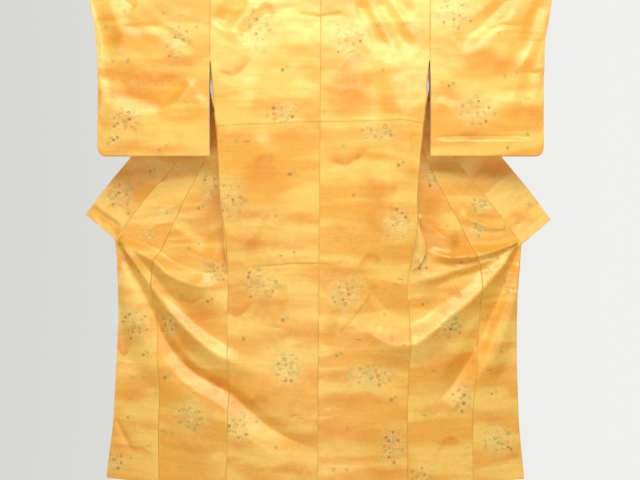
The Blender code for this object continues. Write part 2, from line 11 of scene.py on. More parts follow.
import bmesh
import bpy
import numpy as np
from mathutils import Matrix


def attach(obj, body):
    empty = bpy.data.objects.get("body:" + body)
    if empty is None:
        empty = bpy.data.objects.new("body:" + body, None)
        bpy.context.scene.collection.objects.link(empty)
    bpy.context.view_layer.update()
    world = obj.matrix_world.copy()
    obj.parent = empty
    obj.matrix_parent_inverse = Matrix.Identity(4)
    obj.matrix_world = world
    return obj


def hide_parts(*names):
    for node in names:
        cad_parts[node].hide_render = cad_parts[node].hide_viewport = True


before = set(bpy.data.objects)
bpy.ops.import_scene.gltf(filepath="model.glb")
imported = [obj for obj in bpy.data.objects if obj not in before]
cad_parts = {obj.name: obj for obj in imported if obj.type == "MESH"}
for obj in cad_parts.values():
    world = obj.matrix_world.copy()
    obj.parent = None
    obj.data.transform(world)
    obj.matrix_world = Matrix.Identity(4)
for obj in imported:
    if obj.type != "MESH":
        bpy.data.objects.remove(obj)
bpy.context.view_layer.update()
print("nodes:", ", ".join(sorted(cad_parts)))

# %% [markdown]
# ## The garment's sizes
# The solids were made from a few named sizes and short tables, and the cloth has to lie on the same
# forms, so those values are repeated here. A drop is a distance below the rod's axis, and a reach is a
# distance from the middle plane. A smooth curve through the rows of a table gives every edge, because a
# hand-cut edge has no corners between the points where one measures it.

# %% Named sizes, in metres
ROD_RADIUS = 0.0125
SADDLE = (ROD_RADIUS + 0.0003) / math.cos(math.radians(15)) + 0.002
LENGTH = 1.546
CORNER_LIFT = 0.014
HEM_REACH = 0.68
SHOULDER_REACH = 0.3387
NECK_REACH = 0.09
ARMHOLE_DROP = 0.215
SIDE_OPENING_END = 0.365
POCKET_END = 0.86
TUCK_DROP = 0.400
TUCK_STEP = 0.0012
KENSAKI_DROP = 0.190
COLLAR_WIDTH = 0.1275
SLEEVE_DROP = 0.507
CUFF_DROP = 0.235
SLEEVE_CORNER = 0.026
FURI_REACH = 0.3415
SEAM_GAP = 0.0001
CLOTH_WALL = 0.0013

# %% Tables of edges and depths
# drop, the drape's depth behind the rod's axis at the middle, and at the free edges
DRAPE = (
    (0.00, -SADDLE, -SADDLE), (0.20, -0.0140, -0.0105), (0.40, -0.0120, 0.0060), (0.60, -0.0080, 0.0290),
    (0.75, -0.0030, 0.0610), (0.87, 0.0030, 0.1160), (1.00, 0.0100, 0.1150), (1.25, 0.0220, 0.1080),
    (1.56, 0.0350, 0.1000),
)
# reach, depth of the opened front behind the rod's axis
WING = ((0.09, 0.022), (0.30, 0.057), (0.50, 0.091), (0.62, 0.111), (0.70, 0.119), (0.80, 0.123))
# drop, reach on the left, reach on the right
SIDE_EDGE = (
    (0.215, 0.3370, 0.3360), (0.262, 0.3320, 0.3300), (0.310, 0.3275, 0.3248), (0.365, 0.3235, 0.3216),
    (0.420, 0.3180, 0.3152), (0.476, 0.3155, 0.3110), (0.577, 0.3125, 0.3041), (0.650, 0.3095, 0.3007),
    (0.719, 0.2985, 0.3020), (0.771, 0.2935, 0.2970), (0.830, 0.2905, 0.2852), (0.923, 0.2880, 0.2735),
    (1.018, 0.2925, 0.2830), (1.200, 0.2890, 0.2800), (1.310, 0.2900, 0.2763), (1.520, 0.2970, 0.2776),
)
OPENING_EDGE = (
    (0.215, 0.3387, 0.3387), (0.250, 0.3390, 0.3385), (0.290, 0.3400, 0.3370), (0.330, 0.3345, 0.3310),
    (0.365, 0.3262, 0.3243),
)
TURN_LINE = (
    (0.00, 0.0900, 0.0900), (0.19, 0.1530, 0.1500), (0.36, 0.1960, 0.1900), (0.50, 0.2280, 0.2220),
    (0.65, 0.2620, 0.2560), (0.73, 0.2790, 0.2760), (0.79, 0.2870, 0.2850), (0.86, 0.2950, 0.2900),
)
COLLAR_SEAM = (
    (0.000, 0.0900, 0.0900), (0.190, 0.2250, 0.2180), (0.505, 0.4490, 0.4310), (0.582, 0.5180, 0.4940),
    (0.652, 0.5790, 0.5540), (0.691, 0.6100, 0.5870), (0.763, 0.6655, 0.6405), (0.780, 0.6790, 0.6530),
)
COLLAR_END = {-1: 0.763, 1: 0.780}
OKUMI_SEAM = (
    (0.190, 0.2250, 0.2180), (0.502, 0.3648, 0.3395), (0.578, 0.4010, 0.3720), (0.628, 0.4305, 0.4000),
    (0.698, 0.4635, 0.4400), (0.733, 0.4800, 0.4580), (0.797, 0.5100, 0.4890), (0.829, 0.5300, 0.5050),
    (0.861, 0.5370, 0.5165), (0.903, 0.5400, 0.5170), (1.021, 0.5250, 0.5125), (1.150, 0.5200, 0.5050),
    (1.245, 0.5130, 0.4945), (1.370, 0.5180, 0.4880), (1.530, 0.5160, 0.4900),
)
FREE_EDGE = (
    (0.763, 0.6655, 0.6540), (0.830, 0.6586, 0.6490), (0.920, 0.6540, 0.6395), (0.960, 0.6536, 0.6370),
    (1.155, 0.6590, 0.6363), (1.350, 0.6680, 0.6414), (1.534, 0.6880, 0.6570),
)
CUFF_EDGE = (
    (0.000, 0.7100, 0.7140), (0.030, 0.7070, 0.7110), (0.095, 0.6950, 0.7020), (0.150, 0.6880, 0.6920),
    (0.200, 0.6845, 0.6900), (0.380, 0.6860, 0.6900), (0.507, 0.6870, 0.6910),
)


def smooth(table, column, at):
    """The column's value at each place, on a smooth line through the rows that never overshoots."""
    table = np.array(table, float)
    places, values = table[:, 0], table[:, column]
    at = np.clip(np.asarray(at, float), places[0], places[-1])
    slopes = np.diff(values) / np.diff(places)
    turns = np.concatenate([slopes[:1], np.zeros(len(slopes) - 1), slopes[-1:]])
    for i in range(1, len(slopes)):
        if slopes[i - 1] * slopes[i] > 0:
            turns[i] = 2 / (1 / slopes[i - 1] + 1 / slopes[i])
    i = np.clip(np.searchsorted(places, at) - 1, 0, len(slopes) - 1)
    step = places[i + 1] - places[i]
    t = (at - places[i]) / step
    rise = (values[i + 1] - values[i]) * t * t * (3 - 2 * t)
    return values[i] + rise + step * t * (1 - t) * ((1 - t) * turns[i] - t * turns[i + 1])


def ease(value):
    """0 below 0, 1 above 1, and a soft ramp between."""
    t = np.clip(value, 0, 1)
    return t * t * (3 - 2 * t)


def edge_at(table, side, drop):
    """A left and right table's reach on one side, at each drop."""
    return smooth(table, 1 if side < 0 else 2, drop)


print(f"back's width at the hem: {float(smooth(SIDE_EDGE, 1, 1.5)):.3f} m")

# %% [markdown]
# ## Folds set one by one
# A pinned or hanging cloth falls into long ridges that start sharp at the point that holds it and
# widen and soften as they run away from it. Each fold here is a smooth line with a height and two half
# widths, one towards the shoulder and one towards the hem, because light from above makes a steep upper
# slope read as a bright band and a steep lower slope as a dark one. Painting them with a noise
# texture would be quicker, but only placed folds run where the weight of the real cloth sends them.

# %% Fold tables
# All in millimetres: points (x, drop), height towards the viewer, reach above, reach below, roundness
DRAPE_FOLDS = (
    (((-654, 762), (-589, 797), (-530, 829), (-482, 870), (-406, 901), (-357, 913), (-289, 897)), 31, 25,
      44, 2),
    (((-643, 778), (-615, 810), (-579, 858), (-542, 906), (-496, 966), (-446, 1023), (-374, 1088),
      (-303, 1134), (-248, 1151), (-175, 1125)), 22, 21, 26, 3),
    (((-649, 771), (-635, 813), (-610, 868), (-576, 929), (-549, 980), (-526, 1028), (-496, 1088),
      (-459, 1138), (-413, 1181), (-355, 1215), (-290, 1247), (-252, 1281), (-182, 1342), (-81, 1400),
      (75, 1445)), -22, 20, 30, 1),
    (((-646, 836), (-600, 959), (-559, 1070), (-512, 1156), (-446, 1236), (-364, 1297), (-268, 1358),
      (-157, 1415), (-47, 1460)), 10, 36, 44, 20),
    (((-659, 1346), (-631, 1403), (-598, 1462)), -4, 6, 10, 3),
    (((-655, 959), (-644, 1072), (-633, 1217)), -4, 22, 20, 10),
    (((639, 771), (573, 797), (525, 810), (473, 819), (417, 822), (338, 799)), 30, 24, 10, 1),
    (((639, 775), (588, 842), (529, 906), (466, 966), (419, 1000), (374, 1037), (328, 1074), (286, 1092),
      (238, 1094), (197, 1084), (153, 1058), (93, 998)), 29, 34, 40, 2),
    (((637, 784), (625, 836), (603, 904), (573, 974), (546, 1028), (516, 1092), (479, 1155), (439, 1211),
      (400, 1260), (335, 1316)), -21, 30, 22, 1),
    (((642, 836), (627, 927), (603, 1007), (569, 1093), (525, 1181), (479, 1250)), 11, 18, 26, 12),
    (((162, 908), (187, 952), (219, 987), (251, 1007), (289, 1015), (328, 1005), (354, 986), (380, 936),
      (419, 892)), -10, 30, 24, 8),
    (((409, 886), (429, 918), (449, 953)), 3, 3, 5, 2),
    (((576, 819), (501, 842), (412, 866), (341, 888), (276, 894)), 13, 16, 12, 3),
    (((545, 855), (472, 873), (412, 892), (354, 913)), -6, 8, 12, 4),
)
BACK_FOLDS = (
    (((-236, 10), (-273, 53), (-316, 111)), -10, 14, 20, 12),
    (((-147, 44), (-196, 96), (-255, 145)), -9, 12, 18, 12),
    (((-190, 35), (-236, 90), (-289, 157)), 6, 14, 14, 12),
    (((-126, 194), (-160, 335), (-197, 482)), -7, 18, 30, 18),
    (((-136, 657), (-173, 753), (-237, 840)), -9, 14, 22, 10),
    (((-109, 902), (-146, 945), (-181, 999), (-213, 1059)), -9, 14, 22, 9),
    (((-165, 430), (-190, 562), (-226, 660), (-255, 740)), 3, 20, 22, 12),
    (((-266, 853), (-180, 848), (-140, 846), (-87, 841), (0, 841), (77, 847)), -2.8, 2.4, 6.5, 2),
    (((-134, 881), (-71, 876), (-15, 889)), -2.4, 4, 6, 3),
    (((-102, 906), (-53, 898), (3, 903)), -2.6, 4, 7, 3),
    (((-295, 921), (-263, 912), (-225, 910)), -2.6, 4, 6, 3),
    (((123, 23), (144, 87), (178, 160), (212, 206)), -8.5, 12, 16, 12),
    (((175, 16), (221, 87), (273, 172), (301, 191)), -8.5, 12, 16, 12),
    (((230, 1), (261, 47), (288, 81)), -5, 10, 12, 8),
    (((129, 81), (175, 173), (224, 270)), 4.5, 12, 18, 13),
    (((138, 237), (181, 332), (212, 451), (204, 598)), -10, 24, 22, 16),
    (((249, 252), (271, 420), (263, 598)), 6, 22, 24, 16),
    (((163, 918), (112, 986), (53, 1052)), 4.6, 2.2, 3.4, 1),
    (((53, 845), (77, 833), (102, 839)), -2.2, 4, 5, 3),
    (((460, 375), (300, 385), (150, 380)), 18, 110, 70, 12),
    (((-460, 375), (-300, 385), (-160, 380)), 11, 90, 60, 12),
    (((-100, 1480), (80, 1525), (240, 1515)), 14, 60, 40, 12),
    (((78, 951), (56, 1029), (37, 1107)), -5, 16, 20, 12),
    (((31, 1428), (157, 1361), (284, 1333)), 7, 30, 30, 20),
    (((203, 543), (222, 586), (247, 641)), -3, 12, 16, 8),
)
WING_FOLDS = (
    (((-748, 655), (-697, 728)), -4, 4, 8, 3),
    (((-735, 660), (-690, 700), (-640, 735)), -10, 8, 16, 4),
    (((-610, 655), (-540, 640), (-470, 690)), 6, 18, 24, 10),
    (((-470, 700), (-400, 735), (-330, 770)), -7, 20, 16, 10),
    (((-420, 790), (-360, 820), (-310, 830)), 6, 16, 12, 6),
    (((536, 634), (600, 612), (658, 596)), 3, 5, 7, 3),
    (((310, 690), (350, 728), (390, 757), (445, 782)), 14, 20, 16, 5),
    (((350, 780), (410, 812), (460, 822)), -8, 14, 16, 8),
    (((600, 722), (560, 724), (500, 708), (430, 676)), 11, 18, 12, 5),
    (((-296, 760), (-328, 820), (-350, 866)), 5, 26, 14, 4),
)
# The same for a sleeve, with reach in place of x
SLEEVE_FOLDS = {
    -1: (
        (((698, 11), (664, 120), (639, 212), (621, 262), (593, 308), (553, 326), (497, 289), (417, 249),
          (380, 212)), -14, 22, 30, 22),
        (((670, 30), (624, 123), (587, 203)), 8, 24, 20, 16),
        (((618, 110), (568, 111), (522, 107), (485, 113), (445, 138), (401, 166), (371, 197)), -3.8, 4, 15,
          5),
        (((605, 21), (587, 36), (568, 55)), -6, 6, 10, 5),
        (((380, 259), (445, 354), (513, 450), (550, 493)), 7, 16, 14, 10),
        (((352, 317), (408, 401), (445, 478)), 6, 14, 12, 9),
        (((371, 336), (417, 410), (463, 478)), -5, 12, 12, 9),
        (((414, 271), (469, 326), (525, 370)), -6, 14, 14, 10),
        (((670, 379), (602, 360), (537, 401)), 5, 18, 20, 14),
        (((689, 200), (676, 289), (673, 394)), 4, 10, 10, 8),
    ),
    1: (
        (((602, -1), (506, 95), (414, 166)), -9, 14, 14, 12),
        (((621, 52), (540, 138), (432, 212)), 5, 14, 24, 16),
        (((686, 18), (655, 98), (639, 157), (571, 221)), -8, 14, 14, 12),
        (((698, 138), (658, 218), (639, 299), (642, 357)), -8, 12, 14, 11),
        (((500, 104), (581, 106), (655, 107)), -2.6, 3, 5, 2),
        (((602, 248), (652, 249), (698, 249)), -3, 3, 5, 2),
        (((352, 330), (432, 398), (473, 450)), 5, 16, 16, 12),
        (((621, 330), (562, 357), (500, 438)), 5, 18, 20, 14),
        (((346, 451), (442, 445), (562, 446), (695, 448)), -4.2, 3, 5, 2),
        (((346, 466), (522, 466), (695, 466)), 5, 10, 20, 4),
    ),
}
# share of its full width that a fold starts with, and of its length over which it rises
PINNED = (0.17, 0.03)
LOOSE = (0.42, 0.16)
FOLD_FADE_OUT = 0.26
FOLD_FOOT = 2.0
FOOT_SOFTNESS = 0.22
FOLD_STRENGTH = 1.15


def crest(path, count=22):
    """Points along a smooth line through a fold's points, in metres."""
    path = np.array(path) / 1000
    along = np.concatenate([[0], np.cumsum(np.linalg.norm(np.diff(path, axis=0), axis=1))])
    table = np.column_stack([along / along[-1], path])
    places = np.linspace(0, 1, count)
    return np.column_stack([smooth(table, 1, places), smooth(table, 2, places)])


def relief(folds, x, drop, start=LOOSE):
    """How far the folds bring the cloth towards the viewer at each place."""
    x, drop = (np.ascontiguousarray(a, float) for a in np.broadcast_arrays(x, drop))
    total = np.zeros(x.shape)
    for path, *sizes in folds:
        height, above, below, rounding = np.array(sizes) / 1000
        line = crest(path)
        room = 6 * max(above, below) + rounding
        low, high = line.min(0) - room, line.max(0) + room
        near = (x > low[0]) & (x < high[0]) & (drop > low[1]) & (drop < high[1])
        if not near.any():
            continue
        px, py = x[near], drop[near]
        best, along, under = np.full(px.shape, 9.0), np.zeros(px.shape), np.zeros(px.shape)
        for k in range(len(line) - 1):
            ax, ay = line[k]
            dx, dy = line[k + 1] - line[k]
            t = np.clip(((px - ax) * dx + (py - ay) * dy) / (dx * dx + dy * dy), 0, 1)
            far = (px - ax - t * dx) ** 2 + (py - ay - t * dy) ** 2
            closer = far < best
            best = np.where(closer, far, best)
            along = np.where(closer, (k + t) / (len(line) - 1), along)
            under = np.where(closer, (dx * (py - ay) - dy * (px - ax)) * np.sign(dx), under)
        spread = start[0] + (1 - start[0]) * along**0.6
        width = np.where(under > 0, below, above) * spread
        ends = ease(along / start[1]) * ease((1 - along) / FOLD_FADE_OUT)
        left_over = 1 - (np.sqrt(best + rounding**2) - rounding) / (FOLD_FOOT * width)
        profile = (left_over + np.sqrt(left_over**2 + FOOT_SOFTNESS**2)) / (1 + math.hypot(1, FOOT_SOFTNESS))
        total[near] += FOLD_STRENGTH * height * spread**0.8 * ends * profile
    return total


RIPPLE_HEIGHT = 0.0013
RIPPLE_LENGTHS = (0.21, 0.15, 0.11, 0.08, 0.055, 0.04)
RIPPLE_LEAN = 0.9
WHOLE_TURN = 6.28


def ripples(x, drop, seed):
    """A faint unevenness, as cloth has where nothing pulls it flat."""
    waves = np.random.default_rng(seed)
    total = 0 * x
    for length in RIPPLE_LENGTHS:
        turn, phase = waves.uniform(-RIPPLE_LEAN, RIPPLE_LEAN), waves.uniform(0, WHOLE_TURN)
        way = x * math.sin(turn) + drop * math.cos(turn)
        sway = 2.5 * np.sin(x / length + phase)
        total = total + length / 0.12 * np.sin(way / length * WHOLE_TURN + phase + sway)
    return RIPPLE_HEIGHT * total / 3


print(len(DRAPE_FOLDS) + len(BACK_FOLDS) + len(WING_FOLDS), "folds on the body")

# %% [markdown]
# ## Where the cloth lies
# The back hangs from the rod and is drawn back at both sides lower down, where the fronts are held out
# behind it. The opened fronts are flat wings above the points that hold them, and join the same drape
# below. Two depth functions say this once, for every panel, so that panels meet at their seams.

# %% Depth functions
DRAPE_REACH = 0.66
DRAPE_BEND = 0.20
WING_FADE = 0.16
DRAPE_STRENGTH = 1.25
HEM_CURVE_DROP = 1.25
HEM_CURVE_RUN = 0.28
# the body's folds and its unevenness begin softly below the rod
FOLDS_BEGIN = 0.05
RIPPLES_BEGIN = 0.06
RIPPLE_SEED = 3


def drape_depth(x, drop):
    reach = np.abs(x)
    middle, edge = smooth(DRAPE, 1, drop), smooth(DRAPE, 2, drop)
    bow = np.sqrt(reach**2 + DRAPE_BEND**2) - DRAPE_BEND
    return middle + (edge - middle) * bow / (math.hypot(DRAPE_REACH, DRAPE_BEND) - DRAPE_BEND)


# the tuck seam's small step down, the puff above it, and where the step has melted away
TUCK_RISE = 0.002
TUCK_MELTED = 0.62
TUCK_MELT_RUN = 0.22
TUCK_SPREAD = 0.07
PUFF_HEIGHT = 0.0007
PUFF_WIDTH = 0.004
# the shallow crease that the collar's seam presses into the back, below the neck
NECK_CREASE_DROP = 0.080
NECK_CREASE_SLOPE = 0.15
NECK_CREASE_WIDTH = 0.005
NECK_CREASE_DEPTH = 0.0026
NECK_CREASE_REACH = 0.075
# x, how much lower the tuck seam runs than at the middle
TUCK_LINE = ((-0.32, 0.016), (-0.18, 0.006), (0.00, 0.000), (0.24, -0.003), (0.33, 0.009))


def tuck_shift(x, drop):
    return smooth(TUCK_LINE, 1, x) * np.exp(-(((drop - TUCK_DROP) / TUCK_SPREAD) ** 2))


def back_depth(x, drop):
    """Depth of the back's outer face, with its folds and the tuck seam's small step."""
    past = drop - TUCK_DROP - tuck_shift(x, drop)
    step = TUCK_STEP * ease(past / TUCK_RISE) * ease((TUCK_MELTED - drop) / TUCK_MELT_RUN)
    puff = PUFF_HEIGHT * np.exp(-(((past + PUFF_WIDTH) / PUFF_WIDTH) ** 2))
    folds = DRAPE_STRENGTH * relief(DRAPE_FOLDS, x, drop, PINNED)
    folds = folds + relief(BACK_FOLDS, x, drop) * ease(drop / FOLDS_BEGIN)
    from_crease = drop - NECK_CREASE_DROP + NECK_CREASE_SLOPE * np.abs(x)
    neck = np.exp(-((from_crease / NECK_CREASE_WIDTH) ** 2))
    neck = NECK_CREASE_DEPTH * neck * ease((NECK_CREASE_REACH - np.abs(x)) / 0.02)
    folds = folds + (ripples(x, drop, RIPPLE_SEED) - neck + puff) * ease(drop / RIPPLES_BEGIN)
    return drape_depth(x, drop) + step - folds


def opened_depth(x, drop):
    """Depth of the opened front, overlap and collar: the tilted wing above, the drape below."""
    wing = smooth(WING, 1, np.abs(x))
    low = np.maximum(drop, POCKET_END)
    joined = wing + (drape_depth(x, low) - wing) * ease((drop - POCKET_END + WING_FADE) / WING_FADE)
    folds = DRAPE_STRENGTH * relief(DRAPE_FOLDS, x, drop, PINNED)
    return joined - folds - relief(WING_FOLDS, x, drop, PINNED) - ripples(x, drop, RIPPLE_SEED)


def height_of(x, drop):
    """The height of a row at x: the hem rises a little towards its corners."""
    lift = CORNER_LIFT * (np.abs(x) / HEM_REACH) ** 4 * ease((drop - HEM_CURVE_DROP) / HEM_CURVE_RUN)
    return -(drop - lift)


def side_reach(side, drop):
    return np.where(drop < ARMHOLE_DROP, SHOULDER_REACH, edge_at(SIDE_EDGE, side, drop))


print(f"depth at the middle of the hem: {float(back_depth(np.array(0.0), np.array(LENGTH))):.3f} m")

# %% [markdown]
# ## A cloth panel as a fine grid
# Each panel starts as a flat bmesh grid, whose points are then carried to their places on the form.
# The grid also carries a UV map in metres of cloth, so that a weave keeps its true scale, and an
# attribute with three masks for the print and the seams. The thickness comes last, from a Solidify
# modifier that also gives the inner face the lining's material. Simulated cloth would hang by itself, but
# here every edge has to fall where the photograph shows it.
# The print masks also carry painted shade. Some haze bars darken fold facets and hollows, and the seam mask
# darkens the seams.

# %% Helpers that lay a grid
def put(name, data):
    """An object with this data, in the scene."""
    made = bpy.data.objects.new(name, data)
    bpy.context.scene.collection.objects.link(made)
    return made


SIDES = ((-1, "left"), (1, "right"))
# each panel has a stretch of the bolt to itself, so that no two share their weave
CUT_ORDER = (
    "back_left", "back_right", "front_left", "front_right", "okumi_left", "okumi_right", "collar",
    "sleeve_left", "sleeve_right", "lining",
)
BOLT_STRETCH = 2.0
CLOTH_STEP = 0.0046
LONG_STEP = 0.0052
EDGE_ROWS = (0.0015, 0.004)
CREASE_ROWS = (-0.006, -0.004, -0.002, 0, 0.002, 0.004, 0.006)


def marks(low, high, step, close=()):
    """Places from low to high, a step apart, closer at both ends and round the given places."""
    count = max(3, round((high - low) / step))
    found = set(np.round(np.linspace(low, high, count + 1), 5))
    found |= {round(low + d, 5) for d in EDGE_ROWS} | {round(high - d, 5) for d in EDGE_ROWS}
    for place in close:
        found |= {round(place + d, 5) for d in CREASE_ROWS}
    return np.array(sorted(f for f in found if low <= f <= high))


def lengths(spots, axis):
    """The distance along the cloth from the first row or column."""
    steps = np.linalg.norm(np.diff(spots, axis=axis), axis=2)
    start = np.zeros_like(np.take(steps, [0], axis=axis))
    return np.concatenate([start, np.cumsum(steps, axis=axis)], axis=axis)


def panel(name, spots, uv, where, seam, finishes=("silk", "lining"), closed=False, notch=None,
          faces_front=None, wall=CLOTH_WALL, faced=None):
    """A cloth panel. spots[row, column] are its points, uv its cloth coordinates in metres, where the x
    and the drop that the print is placed by, and seam how near a seam is. A closed panel's last row is
    its first. notch(row, column) says which faces are left out, faced(row, column) which have silk on
    both sides, and rows before faces_front face the viewer."""
    part = name.split("_")[0]
    stretch = CUT_ORDER.index(name if name in CUT_ORDER else part)
    uv = uv + np.array([stretch * BOLT_STRETCH, 0])
    down, across = spots.shape[0] - 1, spots.shape[1] - 1
    cloth = bmesh.new()
    bmesh.ops.create_grid(cloth, x_segments=across, y_segments=down, size=0.5)
    place = {v: (round((v.co.y + 0.5) * down), round((v.co.x + 0.5) * across)) for v in cloth.verts}
    metres = cloth.loops.layers.uv.new("cloth")
    cut, front = [], []
    for face in cloth.faces:
        corner = min(place[v] for v in face.verts)
        if notch and notch(*corner):
            cut.append(face)
        elif faces_front is None or corner[0] < faces_front:
            front.append(face)
        face.material_index = 2 if faced and faced(*corner) else 0
        for loop in face.loops:
            loop[metres].uv = uv[place[loop.vert]]
    for vert, spot in place.items():
        vert.co = spots[spot]
    cloth.normal_update()
    if sum(face.normal.y for face in front) > 0:
        bmesh.ops.reverse_faces(cloth, faces=cloth.faces)
    bmesh.ops.delete(cloth, geom=cut, context="FACES")
    place = {v: spot for v, spot in place.items() if v.is_valid}
    if closed:
        first = {spot[1]: v for v, spot in place.items() if spot[0] == 0}
        last = [v for v, spot in place.items() if spot[0] == down]
        bmesh.ops.weld_verts(cloth, targetmap={v: first[place[v][1]] for v in last})
    rows, columns = np.array([place[v] for v in cloth.verts]).T
    mesh = bpy.data.meshes.new(name)
    cloth.to_mesh(mesh)
    cloth.free()
    x, drop = (np.broadcast_to(a, spots.shape[:2])[rows, columns] for a in where)
    # the haze mask is print and some painted shade, and the seam mask is painted shade along seams and folds
    masks = np.stack([glow_mask(part, x, drop), haze_and_shade_mask(part, x, drop), seam[rows, columns]], axis=-1)
    print_and_shade_masks = mesh.attributes.new("print", "FLOAT_VECTOR", "POINT")
    print_and_shade_masks.data.foreach_set("vector", masks.astype(np.float32).ravel())
    lay_motifs(mesh, part, x, drop)
    for finish in finishes:
        mesh.materials.append(FINISHES[finish])
    mesh.shade_smooth()
    made = put(name, mesh)
    thick = made.modifiers.new("thickness", "SOLIDIFY")
    thick.thickness = wall
    thick.offset = -1
    thick.material_offset = 1
    thick.material_offset_rim = 0
    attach(made, "root")
    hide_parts(name)
    laid = sum(polygon.area for polygon in mesh.polygons)
    print(f"{name}: {len(mesh.polygons)} faces, {laid:.3f} square metres of cloth")


def over_rod(angle):
    """Depth and height on the saddle over the rod, by the angle back from its front."""
    return -SADDLE * np.cos(angle), SADDLE * np.sin(angle)


# %% [markdown]
# ## Where the print falls
# The silk is printed with clusters of small blossoms on a paler ground, lone blossoms between, and
# orange haze that has one crisp edge and melts away from it. Each cluster, lone blossom and bar of haze
# is listed with its place, and a seeded scatter fills the clusters. Every face then learns where it lies
# inside the nearest blossom, as a second UV map, so that the material can draw sharp petals on a coarse grid.
# Some soft bars in the haze table are painted shade rather than print: they darken fold facets and the
# hollows beside the back's edges.

# %% Print tables, in millimetres
# x, drop, half width, half height, blossoms
CLUSTERS = {
    "back": (
        (-188, 122, 58, 78, 17), (-114, 372, 54, 28, 11), (-271, 639, 42, 60, 15), (-191, 903, 58, 52, 17),
        (-98, 1165, 46, 55, 17), (-246, 1343, 50, 50, 15), (86, 153, 55, 62, 19), (172, 434, 56, 30, 13),
        (237, 713, 42, 52, 14), (83, 928, 55, 50, 16), (162, 1190, 66, 40, 17), (228, 1417, 42, 56, 15),
    ),
    "front": (
        (-352, 597, 26, 46, 9), (-328, 868, 36, 36, 15), (-480, 1033, 32, 46, 11), (-410, 1326, 52, 52, 17),
        (355, 558, 28, 42, 9), (413, 1039, 40, 44, 14), (452, 1271, 32, 48, 12), (323, 1510, 34, 34, 10),
        (318, 845, 22, 40, 8),
    ),
    "okumi": (
        (-594, 1039, 50, 50, 17), (-660, 1494, 32, 36, 9), (510, 655, 34, 26, 8), (500, 733, 30, 22, 6),
        (574, 1417, 52, 52, 17), (610, 918, 18, 42, 6), (-494, 671, 28, 20, 2), (-555, 760, 24, 14, 4),
    ),
    "collar": (
        (-645, 617, 46, 46, 16), (-240, 120, 30, 60, 12), (300, 200, 40, 60, 12),
    ),
    "sleeve": (
        (-440, 150, 40, 68, 15), (-597, 393, 52, 44, 16), (-636, 456, 28, 22, 5), (415, 70, 56, 50, 15),
        (477, 365, 60, 50, 18),
    ),
    "lining": (),
}
# x, drop, what is printed there
LONE = {
    "back": (
        (-108, 239, "pair"), (-109, 1011, "pair"), (-86, 559, "pair"), (-305, 460, "sage"),
        (-258, 460, "sage"), (-160, 516, "sage"), (-80, 802, "sage"), (-122, 814, "sage"),
        (-138, 1417, "sage"), (-138, 691, "rust"), (-83, 1313, "dabs"), (-300, 282, "grass"),
        (-175, 700, "arch"), (-60, 1322, "arch"), (-20, 300, "arch"), (-290, 232, "arch"),
        (-188, 1268, "sage"), (-240, 1075, "rust"), (-225, 462, "dabs"), (-60, 905, "grass"),
        (249, 531, "pair"), (230, 1263, "pair"), (58, 1122, "pair"), (52, 765, "sage"), (95, 765, "sage"),
        (262, 359, "sage"), (43, 1482, "sage"), (83, 1482, "sage"), (182, 827, "sage"), (98, 236, "arch"),
        (222, 227, "arch"), (52, 374, "sage"), (71, 476, "sage"), (203, 996, "sage"), (194, 245, "rust"),
        (102, 627, "rust"), (86, 1353, "rust"), (286, 113, "dabs"), (302, 131, "arch"), (252, 888, "dabs"),
        (65, 553, "grass"), (43, 1300, "grass"), (180, 107, "dabs"), (240, 905, "arch"), (150, 640, "arch"),
        (260, 1090, "sage"), (120, 1075, "dabs"),
    ),
    "front": (
        (-487, 1200, "pair"), (-416, 791, "sage"), (-439, 942, "sage"), (-384, 778, "rust"),
        (-445, 1491, "sage"), (-497, 1381, "sage"), (-471, 1381, "sage"), (-345, 955, "pair"),
        (-365, 1060, "sage"), (-400, 1250, "dabs"), (-350, 1270, "arch"), (-380, 660, "pair"),
        (332, 965, "pair"), (406, 539, "sage"), (406, 720, "rust"), (448, 836, "rust"), (377, 1410, "sage"),
        (360, 1180, "dabs"), (420, 975, "arch"), (470, 1430, "arch"), (440, 640, "arch"),
        (330, 1320, "dabs"),
    ),
    "okumi": (
        (-603, 1207, "sage"), (-565, 1207, "sage"), (-516, 552, "sage"), (-548, 736, "sage"),
        (-581, 865, "sage"), (-619, 1339, "rust"), (-610, 1475, "sage"), (-480, 665, "grass"),
        (-505, 680, "grass"), (-550, 1430, "dabs"), (-630, 1390, "arch"), (-560, 1130, "pair"),
        (558, 1255, "pair"), (516, 587, "sage"), (581, 1123, "rust"), (498, 745, "grass"),
        (620, 1250, "arch"), (540, 1180, "dabs"), (600, 1300, "grass"), (630, 1470, "sage"),
        (540, 1010, "sage"), (560, 880, "arch"),
    ),
    "collar": (
        (642, 710, "dabs"), (-620, 680, "rust"), (-600, 690, "arch"), (560, 560, "sage"),
        (680, 650, "sage"), (-540, 540, "pair"), (-160, -20, "pair"), (100, -60, "sage"),
        (400, 330, "pair"), (-350, 330, "dabs"), (0, -80, "arch"),
    ),
    "sleeve": (
        (-640, 214, "sage"), (-591, 214, "sage"), (-486, 285, "sage"), (-597, 63, "rust"),
        (-480, 68, "rust"), (-500, 64, "sage"), (-495, 488, "rust"), (-468, 470, "arch"),
        (-591, 482, "arch"), (-412, 343, "dabs"), (-385, 345, "arch"), (-400, 365, "arch"),
        (-425, 76, "dabs"), (-540, 228, "arch"), (-660, 110, "sage"), (-380, 110, "sage"),
        (403, 288, "pair"), (375, 282, "sage"), (548, 131, "sage"), (425, 146, "sage"), (569, 263, "sage"),
        (606, 251, "sage"), (578, 482, "rust"), (640, 330, "dabs"), (560, 60, "pair"), (380, 450, "arch"),
        (640, 440, "sage"), (660, 150, "dabs"),
    ),
    "lining": (),
}
